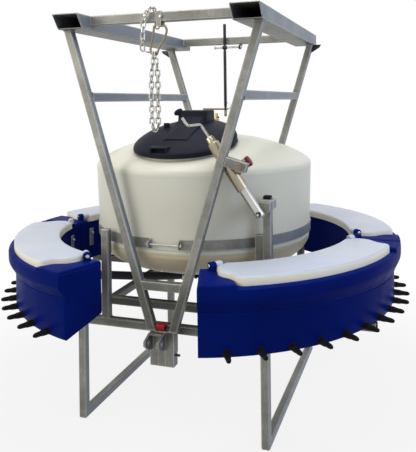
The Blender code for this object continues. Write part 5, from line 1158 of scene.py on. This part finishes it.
def build_caps():
    """Black plugs in the open ends of the bearers and on the posts."""
    parts = []
    inset = 0.002
    for end in ("front", "rear"):
        low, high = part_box(f"{end}_bearer")
        z = low.z + inset
        for x, way in ((low.x, -1), (high.x, 1)):
            near, far = sorted((x - 0.004 * way, x + 0.003 * way))
            parts.append(block((near, low.y + inset, z), (far, high.y - inset, z + TUBE - 0.004), 0.002))
    for side in SIDES:
        low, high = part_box(f"rear_{side}_post")
        corner = (low.x + inset, low.y + inset, high.z - 0.004)
        parts.append(block(corner, (high.x - inset, high.y - inset, high.z + 0.004), 0.002))
    made("tube_plugs", gathered(parts), "black", "base")


def build_outlet():
    """The four-way valve, its red handle and the four hoses with their clamps."""
    step = (TROUGH_LAST_ANGLE - TROUGH_FIRST_ANGLE) / HOSE_FACETS
    angle = TROUGH_FIRST_ANGLE + step * (HOSE_FACET + 0.5)
    angles = {"front_right": angle, "front_left": -angle, "rear_left": angle - pi, "rear_right": pi - angle}
    top, low = VALVE_TOP_Z, VALVE_LOW_Z
    profile = [(0, top), (0.038, top), (VALVE_R, top - 0.004), (VALVE_R, top - 0.016), (0.039, top - 0.019)]
    profile += [(0.039, low + 0.018), (VALVE_R, low + 0.014), (VALVE_R, low + 0.004), (0.038, low), (0.012, low)]
    profile += [(0.009, low - 0.034), (0, low - 0.034)]
    parts = [spun(profile, 56)]
    line = [(0, 0.01), (0.022, 0.01), (0.022, 0.050), (0.0265, 0.052), (0.0265, 0.062), (0.021, 0.064)]
    line += [(0.021, SPIGOT_REACH - 0.004), (SPIGOT_R, SPIGOT_REACH), (0, SPIGOT_REACH)]
    parts += [spun(line, 32, aimed((0, 0, FEED_Z), around(angle, 1, 0))) for angle in angles.values()]
    made("outlet_body", gathered(parts), "black", "base", "outlet_valve")
    dressed("valve_handle", "red")
    start_r = SPIGOT_REACH + GAP
    length, rise = HOSE_END_R - start_r, HOSE_END_Z - FEED_Z
    route = ((0, 0), (0.08, 0), (0.32, 0.2), (0.68, 0.8), (0.92, 1), (1, 1))
    clamps = []
    for name, angle in angles.items():
        out = around(angle, 1, 0)
        across = Vector((out.y, -out.x, 0)) * 0.012
        line = [around(angle, start_r + length * share, FEED_Z + rise * lift) for share, lift in route]
        parts = [pipe(eased(line, 8), HOSE_R, 32)]
        for share in (0.955, 0.90):
            middle = around(angle, start_r + length * share, HOSE_END_Z)
            for index in range(-3, 4):
                parts.append(rod(middle + out * index * 0.0055, out * 0.0018, HOSE_R + 0.0045, 32, edge=0.001))
        made(f"{name}_hose_piece", gathered(parts), "hose", "base", f"{name}_hose")
        for share, z in ((0.04, FEED_Z), (0.985, HOSE_END_Z)):
            middle = around(angle, start_r + length * share, z)
            clamps.append(rod(middle, out * 0.006, HOSE_R + 0.0052, 40, edge=0.001))
            clamps.append(rod(middle + Z_AXIS * (HOSE_R + 0.008), across, 0.004, 12, edge=0.0008))
    made("hose_clamps", gathered(clamps), "zinc", "base")


def jack_direction():
    return Vector((-sin(JACK_LEAN), 0, cos(JACK_LEAN)))


def jack_point(along, across=0.0):
    """A point on the jack, from the centre of its lower pin."""
    return JACK_PIN + jack_direction() * along + Vector((cos(JACK_LEAN), 0, sin(JACK_LEAN))) * across


def swivel(start, end, radius, edge):
    """A round piece on the swivel's axis, from one distance to another."""
    return cylinder(jack_point(SWIVEL_S, start), jack_point(SWIVEL_S, end), radius, 40, edge=edge)


def build_jack():
    """The screw jack: outer tube with its collar and swivel stub, the sliding ram, and the crank."""
    length, head = JACK_TUBE_END - JACK_TUBE_START, JACK_HEAD_END - JACK_TUBE_START
    r, bore, hole, axis = JACK_TUBE_R, RAM_R + 0.0004, CRANK_R + 0.0006, jack_direction()
    profile = [(bore, 0), (r - 0.001, 0), (r, 0.002), (r, length - 0.004), (r - 0.003, length)]
    profile += [(JACK_HEAD_R + 0.001, length + 0.002), (JACK_HEAD_R - 0.001, head - 0.006), (JACK_HEAD_R - 0.004, head)]
    profile += [(hole, head), (hole, length - 0.010), (bore, length - 0.012)]
    tube = spun(profile, 48, aimed(jack_point(JACK_TUBE_START), axis), closed=True)
    made("jack_tube", tube, "jack_zinc", "jack", "jack_outer_tube")
    collar = swivel(RAM_R + 0.001, r + 0.010, SWIVEL_R + 0.006, 0.003)
    stub = swivel(r, SWIVEL_REACH - 0.012, SWIVEL_R, 0.001)
    made("jack_stub", gathered([collar, stub]), "jack_zinc", "jack")
    cap = swivel(SWIVEL_REACH - 0.0115, SWIVEL_REACH + 0.004, SWIVEL_R + 0.0012, 0.004)
    made("jack_stub_cap", cap, "cap_red", "jack")
    inside, long = RAM_R - 0.004, RAM_END - RAM_START
    profile = [(0, 0), (RAM_R - 0.010, 0), (RAM_R - 0.004, 0.002), (RAM_R - 0.001, 0.007), (RAM_R, 0.012)]
    profile += [(RAM_R, long), (inside, long), (inside, 0.045), (0, 0.045)]
    ram = piece("ram", spun(profile, 48, aimed(jack_point(RAM_START), axis)), "zinc")
    carve(ram, [rod(JACK_PIN, Y_AXIS * 0.05, 0.013, 40)], "DIFFERENCE", "zinc")
    smooth(ram, 35)
    settle(ram, "ram", ["jack_ram"])
    root, bend = jack_point(CRANK_SHAFT_END), CRANK_BEND
    elbow = root - Y_AXIS * CRANK_ARM
    grip = elbow + axis * CRANK_GRIP
    points = [jack_point(JACK_TUBE_END - 0.005)]
    points += arc_corner(root, axis * -bend, Y_AXIS * -bend)
    points += arc_corner(elbow, Y_AXIS * bend, axis * bend)
    made("crank", pipe([*points, grip], CRANK_R, 24), "zinc", "crank", "crank_handle")
    shape = [(0, 0), (0.0105, 0), (0.0095, 0.006), (0.0090, 0.018), (0.0140, 0.022), (0.0195, 0.025), (KNOB_R, 0.030)]
    shape += [(0.0200, 0.035), (0.0160, 0.0395), (0.0080, KNOB_LENGTH), (0, KNOB_LENGTH)]
    made("knob", spun(shape, 40, aimed(grip + axis * GAP, axis)), "black", "crank", "crank_knob")


def arc_corner(corner, into, out_of):
    """Points round a bend from corner + into to corner + out_of."""
    centre = corner + into + out_of
    return [centre - out_of * cos(angle) - into * sin(angle) for angle in steps_from(0, pi / 2, 7)]


def loop_path():
    """The hanging loop: down one strand from the hook and up the other."""
    x, y, half = CHAIN_X, CHAIN_Y, CHAIN_STRAND_GAP / 2
    top = HOOK_LOW_Z + HOOK_WIRE_R + CHAIN_WIRE_R * 0.65 + 0.0020
    apart, aside = 0.0055, 0.006
    strand = [(apart, 0, top), (apart, 0, top - CHAIN_SPREAD * 0.8), (half, aside, top - CHAIN_SPREAD * 2.2)]
    strand += [(half, aside, CHAIN_LOW_Z + 0.030), (half * 0.3, 0, CHAIN_LOW_Z)]
    path = [Vector((x - dx, y - dy, z)) for dx, dy, z in strand]
    return path + [Vector((x + dx, y + dy, z)) for dx, dy, z in reversed(strand)]


def lashing_path():
    """The short end: over the crossbar, down in front and across to the hook's foot."""
    y0, y1 = CROSSBAR_FRONT_Y, CROSSBAR_FRONT_Y + TUBE
    off = CHAIN_WIDTH / 2 + 0.0070
    top = CROSSBAR_TOP_Z
    points = (
        (-0.044, y1 + off, top - 0.070),
        (-0.045, y1 + off, top - 0.004),
        (-0.046, y1 - 0.004, top + off),
        (-0.050, y0 - 0.008, top + off),
        (-0.060, y0 - off - 0.006, top - 0.010),
        (-0.080, y0 - off, top - 0.050),
        (-0.083, y0 - off, top - 0.110),
        (-0.092, CHAIN_Y - 0.016, top - 0.160),
        (-0.096, CHAIN_Y - 0.006, HOOK_LOW_Z + 0.020),
        (-0.070, CHAIN_Y, HOOK_LOW_Z + 0.012),
    )
    return [Vector(point) for point in points]


def along_path(points, distance):
    for a, b in zip(points, points[1:]):
        step = (b - a).length
        if distance <= step:
            return a.lerp(b, max(distance, 0) / step)
        distance -= step
    return points[-1]


def chain_links(path, turned_first):
    """Round-ended links that bear on one another along a path."""
    total = sum((b - a).length for a, b in zip(path, path[1:]))
    count = round(total / CHAIN_PITCH)
    if turned_first and count % 2 == 0:
        count += 1
    half_width = CHAIN_WIDTH / 2 - CHAIN_WIRE_R
    joints = [along_path(path, distance * total / count) for distance in range(count + 1)]
    links = []
    for index, (before, after) in enumerate(zip(joints, joints[1:])):
        ahead = (after - before).normalized()
        level = ahead.cross(Y_AXIS)
        if level.length < 0.5:
            level = X_AXIS.copy()
        level.normalize()
        side = ahead.cross(level) if (index + turned_first) % 2 else level
        centre = (before + after) / 2
        straight = (after - before).length / 2 + CHAIN_WIRE_R * 0.9 - half_width
        points = []
        for way in (1, -1):
            for angle in steps_from(pi / 2, -pi / 2, 8):
                reach = ahead * (straight + half_width * cos(angle)) + side * half_width * sin(angle)
                points.append(centre + reach * way)
        links.append(pipe(points, CHAIN_WIRE_R, 12, cyclic=True))
    return gathered(links)


def build_chain():
    """The hanging chain loop, the short lashing, and the snap hook with its gate."""
    made("chain", chain_links(loop_path(), 1), "zinc", "chain", "chain_loop")
    made("lashing", chain_links(lashing_path(), 0), "zinc", "cradle", "chain_lashing")
    top, low = CROSSBAR_TOP_Z - CROSSBAR_HEIGHT - STRAP_EYE + HOOK_WIRE_R * 0.9 + GAP, HOOK_LOW_Z
    outline = [(STRAP_X - 0.014, top), (STRAP_X + 0.014, top), (STRAP_X + 0.027, top - 0.009), (0.027, top - 0.032)]
    outline += [(0.013, top - 0.070), (-0.012, top - 0.108), (CHAIN_X + 0.014, low + 0.002), (CHAIN_X, low)]
    outline += [(CHAIN_X - 0.014, low + 0.003), (-0.057, low + 0.022), (-0.050, top - 0.080), (-0.040, top - 0.030)]
    outline.append((STRAP_X - 0.026, top - 0.009))
    corners = [Vector((x, CHAIN_Y, z)) for x, z in outline]
    round_line = eased([corners[-1], *corners, corners[0], corners[1]], 5)[5:-10]
    wire = pipe(round_line, HOOK_WIRE_R, 20, cyclic=True)
    sleeve = rod(corners[4], (0.004, 0, 0.012), HOOK_WIRE_R + 0.0012, edge=0.001)
    pivot = rod(corners[5], Y_AXIS * 0.007, 0.0032, 16, edge=0.0008)
    made("hook", gathered([wire, sleeve, pivot]), "hook_zinc", "cradle", "snap_hook")


def build_lever():
    """The black lever with its zinc link rod and ring clip, and the bracket that carries it."""
    x = LEVER_X
    low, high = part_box("release_lever")
    y = (low.y + high.y) / 2
    paint(dressed("release_lever", "black_steel"), "zinc", lambda c: abs(c.x - x) > 0.0145 and c.z < 1.6)
    paint(dressed("lever_bracket", "black_steel"), "zinc", lambda c: c.x < 0.0295 or c.x > 0.0385)
    sleeves = [cylinder((x, y, 1.545), (x, y, 1.915), 0.0098, 28, edge=0.002)]
    sleeves.append(cylinder((x, y, 1.960), (x, y, high.z + 0.001), 0.0098, 28, edge=0.003))
    made("lever_sleeve", gathered(sleeves), "black_steel", "lever")
    rods = [cylinder((-0.226, y, 1.530), (-0.058, y, 1.530), 0.0062, edge=0.002)]
    rods.append(cylinder((x, y, low.z - 0.001), (x, y, 1.520), 0.0094, 28, edge=0.002))
    made("lever_link", gathered(rods), "hook_zinc", "lever")
    heads = [rod((bolt_x, 0.638, 1.937), X_AXIS * 0.004, 0.0105, 6, edge=0.001) for bolt_x in (x - 0.068, 0.044)]
    made("lever_bolt_heads", gathered(heads), "zinc", "cradle")


def build_details():
    """Small things: the strap's bolt, the legs' gussets and the troughs' brackets."""
    x, y = STRAP_X + 0.012, CROSSBAR_FRONT_Y
    bolt = [
        cylinder((x, y - 0.010, STRAP_BOLT_Z), (x, y + 0.002, STRAP_BOLT_Z), 0.0045, 20, edge=0.0008),
        cylinder((x, y - 0.0085, STRAP_BOLT_Z), (x, y - 0.004, STRAP_BOLT_Z), 0.0085, 6, edge=0.0008),
    ]
    made("strap_bolt", gathered(bolt), "zinc", "cradle")
    outline = [(0.497, 1.9380), (0.556, 1.9380), (0.545, 1.919), (0.494, 1.888)]
    place = (0, CRADLE_REAR_Y - TUBE / 2 - 0.004, 0)
    gussets = [slab(outline, axes(place, X_AXIS * side, Z_AXIS, Y_AXIS), 0.008, 0.001) for side in (-1, 1)]
    for gusset in gussets:
        bmesh.ops.recalc_face_normals(gusset, faces=gusset.faces)
    made("leg_gussets", gathered(gussets), "black_steel", "cradle")
    angle, plates, studs = BRACKET_ANGLE, [], []
    out, along = around(angle, 1, 0), around(angle + pi / 2, 1, 0)
    matrix = axes(around(angle, TROUGH_INNER_R - 0.0002, 0.70), along, Z_AXIS, -out)
    root = around(angle, TROUGH_INNER_R - 0.002, 0.780)
    for _, flip in MIRRORS:
        plate = slab([(-0.018, 0), (0.018, 0), (0.018, 0.105), (-0.018, 0.105)], matrix, 0.004, 0.001)
        plates.append(mirror(plate, flip))
        studs.append(mirror(cylinder(root, root - out * 0.016, 0.0055, 20, edge=0.0008), flip))
        studs.append(mirror(cylinder(root - out * 0.003, root - out * 0.009, 0.0095, 6, edge=0.0008), flip))
    made("trough_brackets", gathered(plates), "galvanised", "base")
    made("trough_bolts", gathered(studs), "zinc", "base")


def seen_rays(make):
    """1 for rays that the camera, a mirror or a clear surface sees directly."""
    path = make.add("ShaderNodeLightPath")
    seen = make.math("MAXIMUM", path["Is Camera Ray"], path["Is Glossy Ray"])
    return make.math("MAXIMUM", seen, path["Is Transmission Ray"])


def build_floor(studio):
    """A pale floor that keeps the feeder's shadow and fades to white away from it."""
    bm = bmesh.new()
    bmesh.ops.create_grid(bm, x_segments=2, y_segments=2, size=30)
    mesh = bpy.data.meshes.new("floor")
    bm.to_mesh(mesh)
    bm.free()
    floor = bpy.data.objects.new("floor", mesh)
    floor.location.z = -0.0005
    bpy.context.scene.collection.objects.link(floor)
    surface = bpy.data.materials.new("pale floor")
    surface.use_nodes = True
    tree = surface.node_tree
    tree.nodes.remove(tree.nodes["Principled BSDF"])
    make = Shading(tree)
    reach = make.add("ShaderNodeVectorMath", {0: make.place()}, operation="LENGTH")["Value"]
    far = make.remap(reach, 1.1, 2.6, studio.floor_white, 1.0, interpolation_type="SMOOTHSTEP")
    share = make.math("MULTIPLY", seen_rays(make), far)
    matt = make.add("ShaderNodeBsdfDiffuse", {"Color": (0.45, 0.45, 0.45, 1)})[0]
    white = make.add("ShaderNodeEmission", {"Color": (1, 1, 1, 1), "Strength": 1.0})[0]
    both = make.add("ShaderNodeMixShader", {0: share, 1: matt, 2: white})[0]
    make.feed(tree.nodes["Material Output"], {"Surface": both})
    mesh.materials.append(surface)


def build_studio():
    """A pale floor, soft lamps and the camera of the photograph."""
    scene = bpy.context.scene
    studio = scene.feeder_studio
    scene.view_settings.view_transform = "Standard"
    build_floor(studio)
    scene.world = bpy.data.worlds.new("studio")
    scene.world.use_nodes = True
    tree = scene.world.node_tree
    make = Shading(tree)
    strength = make.mix(seen_rays(make), studio.sky, 1.0, "FLOAT")
    make.feed(tree.nodes["Background"], {"Strength": strength, "Color": (1, 1, 1, 1)})
    lamps = (
        ("overhead", (0.3, -0.6, 4.6), (0, 0, 0.8), 3.6, (1, 1, 1)),
        ("front_left", (-3.2, -3.6, 2.6), (0, 0, 1.0), 2.4, (1, 0.97, 0.90)),
        ("right", (4.2, -1.2, 2.2), (0.2, 0, 1.0), 2.0, (0.50, 0.66, 1.0)),
    )
    for name, place, target, size, tint in lamps:
        light = bpy.data.lights.new(name, "AREA")
        light.size = size
        light.energy = getattr(studio, name)
        light.color = tint
        lamp = bpy.data.objects.new(name, light)
        lamp.matrix_world = aimed(Vector(place), Vector(place) - Vector(target))
        scene.collection.objects.link(lamp)
    camera_data = bpy.data.cameras.new("camera")
    camera_data.lens = studio.lens
    camera_data.sensor_width = 36
    camera_data.shift_y = studio.shift
    camera = bpy.data.objects.new("camera", camera_data)
    turn = Matrix.Rotation(studio.turn, 4, "Z") @ Matrix.Rotation(pi / 2, 4, "X") @ Matrix.Rotation(studio.roll, 4, "Z")
    camera.matrix_world = Matrix.Translation(studio.eye) @ turn
    scene.collection.objects.link(camera)
    scene.camera = camera


def colour(name, description, default):
    settings = {"default": default, "size": 3, "subtype": "COLOR", "min": 0.0, "max": 1.0}
    return bpy.props.FloatVectorProperty(name=name, description=description, **settings)


def number(name, description, default, **settings):
    return bpy.props.FloatProperty(name=name, description=description, default=default, **settings)


def count(name, description, default, least):
    return bpy.props.IntProperty(name=name, description=description, default=default, min=least)


class FeederFinishes(bpy.types.PropertyGroup):
    """Colours of the finishes."""

    steel: colour("Galvanised steel", "Colour of the darker zinc crystals on the frame", (0.215, 0.212, 0.186))
    zinc: colour("Bright zinc", "Colour of the plated ram, crank, chain and bolts", (0.50, 0.49, 0.45))
    navy: colour("Troughs", "Colour of the moulded troughs", (0.0022, 0.0105, 0.135))
    # The lids' top colour is darker and bluer than the lip: painted sky reflection and shade.
    lid_top: colour("Lid top", "Colour of the lids' tops", (0.44, 0.48, 0.57))
    lid_lip: colour("Lid lip", "Colour of the lids' lips and undersides", (0.84, 0.80, 0.66))
    tank: colour("Tank", "Colour of the tank's wall and dome", (0.66, 0.655, 0.56))
    tank_cone: colour("Tank cone", "Colour of the tank's lower cone", (0.54, 0.47, 0.31))
    black: colour("Black plastic", "Colour of the hatch lid", (0.011, 0.012, 0.019))
    red: colour("Red", "Colour of the buffer and the valve's handle", (0.42, 0.018, 0.020))


class FeederDetails(bpy.types.PropertyGroup):
    """Fineness of the modelled detail."""

    tank_steps: count("Tank steps", "Facets round the tank", 144, 30)
    trough_steps: count("Trough steps", "Facets along each trough", 56, 10)
    weld_radius: number("Weld radius", "Radius of the weld beads", 0.0030, min=0.001, unit="LENGTH")


class FeederStudio(bpy.types.PropertyGroup):
    """Camera and lamps."""

    eye: bpy.props.FloatVectorProperty(
        name="Eye", description="Place of the camera", default=(1.1393, -3.2425, 1.5835), size=3, subtype="TRANSLATION"
    )
    turn: number("Turn", "Turn of the camera to the left of the +Y axis", 0.3304, subtype="ANGLE")
    roll: number("Roll", "Roll of the camera", -0.0123, subtype="ANGLE")
    lens: number("Lens", "Focal length in millimetres", 48.71)
    shift: number("Shift", "Vertical shift of the frame", -0.2763)
    floor_white: number("Floor white", "Share of plain white in the floor that the camera sees", 0.86)
    sky: number("Sky", "Strength of the surrounding light", 0.55)
    overhead: number("Overhead", "Power of the lamp above", 125.0, unit="POWER")
    front_left: number("Front left", "Power of the lamp at the front left", 85.0, unit="POWER")
    right: number("Right", "Power of the lamp on the right", 45.0, unit="POWER")


class FEEDER_OT_studio(bpy.types.Operator):
    """Add the floor, the lamps and the camera"""

    bl_idname = "feeder.studio"
    bl_label = "Studio"

    def execute(self, context):
        build_studio()
        return {"FINISHED"}


class FEEDER_OT_tank(bpy.types.Operator):
    """Add the tank with its neck, hinge ears and air valve"""

    bl_idname = "feeder.tank"
    bl_label = "Tank"

    def execute(self, context):
        build_tank()
        build_tank_fitting()
        return {"FINISHED"}


class FEEDER_OT_hatch(bpy.types.Operator):
    """Add the hatch lid"""

    bl_idname = "feeder.hatch"
    bl_label = "Hatch lid"

    def execute(self, context):
        build_hatch()
        return {"FINISHED"}


class FEEDER_OT_band(bpy.types.Operator):
    """Add the steel band round the tank"""

    bl_idname = "feeder.band"
    bl_label = "Tank band"

    def execute(self, context):
        build_band()
        return {"FINISHED"}


class FEEDER_OT_troughs(bpy.types.Operator):
    """Add the four troughs with their teats and hinge lugs"""

    bl_idname = "feeder.troughs"
    bl_label = "Troughs and teats"

    def execute(self, context):
        build_troughs()
        return {"FINISHED"}


class FEEDER_OT_lids(bpy.types.Operator):
    """Add the four trough lids"""

    bl_idname = "feeder.lids"
    bl_label = "Trough lids"

    def execute(self, context):
        build_lids()
        return {"FINISHED"}


class FEEDER_OT_outlet(bpy.types.Operator):
    """Add the outlet valve and the feed hoses"""

    bl_idname = "feeder.outlet"
    bl_label = "Outlet and hoses"

    def execute(self, context):
        build_outlet()
        return {"FINISHED"}


class FEEDER_OT_steel(bpy.types.Operator):
    """Add the steel frame, the cradle, their welds and plugs"""

    bl_idname = "feeder.steel"
    bl_label = "Frame and cradle"

    def execute(self, context):
        build_steel()
        build_welds()
        build_caps()
        return {"FINISHED"}


class FEEDER_OT_jack(bpy.types.Operator):
    """Add the levelling jack and its crank"""

    bl_idname = "feeder.jack"
    bl_label = "Jack and crank"

    def execute(self, context):
        build_jack()
        return {"FINISHED"}


class FEEDER_OT_chain(bpy.types.Operator):
    """Add the chain, its lashing and the snap hook"""

    bl_idname = "feeder.chain"
    bl_label = "Chain and hook"

    def execute(self, context):
        build_chain()
        return {"FINISHED"}


class FEEDER_OT_lever(bpy.types.Operator):
    """Add the release lever and its bracket"""

    bl_idname = "feeder.lever"
    bl_label = "Release lever"

    def execute(self, context):
        build_lever()
        return {"FINISHED"}


class FEEDER_OT_details(bpy.types.Operator):
    """Add the bolts and small brackets"""

    bl_idname = "feeder.details"
    bl_label = "Small details"

    def execute(self, context):
        build_details()
        return {"FINISHED"}


OPERATORS = (
    FEEDER_OT_studio,
    FEEDER_OT_tank,
    FEEDER_OT_hatch,
    FEEDER_OT_band,
    FEEDER_OT_troughs,
    FEEDER_OT_lids,
    FEEDER_OT_outlet,
    FEEDER_OT_steel,
    FEEDER_OT_jack,
    FEEDER_OT_chain,
    FEEDER_OT_lever,
    FEEDER_OT_details,
)


class FEEDER_PT_sidebar(bpy.types.Panel):
    """Sizes, colours and pieces of the feeder"""

    bl_idname = "FEEDER_PT_sidebar"
    bl_label = "Milk feeder"
    bl_space_type = "VIEW_3D"
    bl_region_type = "UI"
    bl_category = "Feeder"

    def draw(self, context):
        layout = self.layout
        for group in (context.scene.feeder_finishes, context.scene.feeder_details, context.scene.feeder_studio):
            box = layout.box()
            for name in group.__annotations__:
                box.prop(group, name)
        for operator in OPERATORS:
            layout.operator(operator.bl_idname)


CLASSES = (FeederFinishes, FeederDetails, FeederStudio, *OPERATORS, FEEDER_PT_sidebar)


def register():
    for cls in CLASSES:
        bpy.utils.register_class(cls)
    bpy.types.Scene.feeder_finishes = bpy.props.PointerProperty(type=FeederFinishes)
    bpy.types.Scene.feeder_details = bpy.props.PointerProperty(type=FeederDetails)
    bpy.types.Scene.feeder_studio = bpy.props.PointerProperty(type=FeederStudio)


def unregister():
    del bpy.types.Scene.feeder_studio
    del bpy.types.Scene.feeder_details
    del bpy.types.Scene.feeder_finishes
    for cls in reversed(CLASSES):
        bpy.utils.unregister_class(cls)


def main():
    register()
    for operator in OPERATORS:
        space, name = operator.bl_idname.split(".")
        getattr(getattr(bpy.ops, space), name)()


if __name__ == "__main__":
    main()
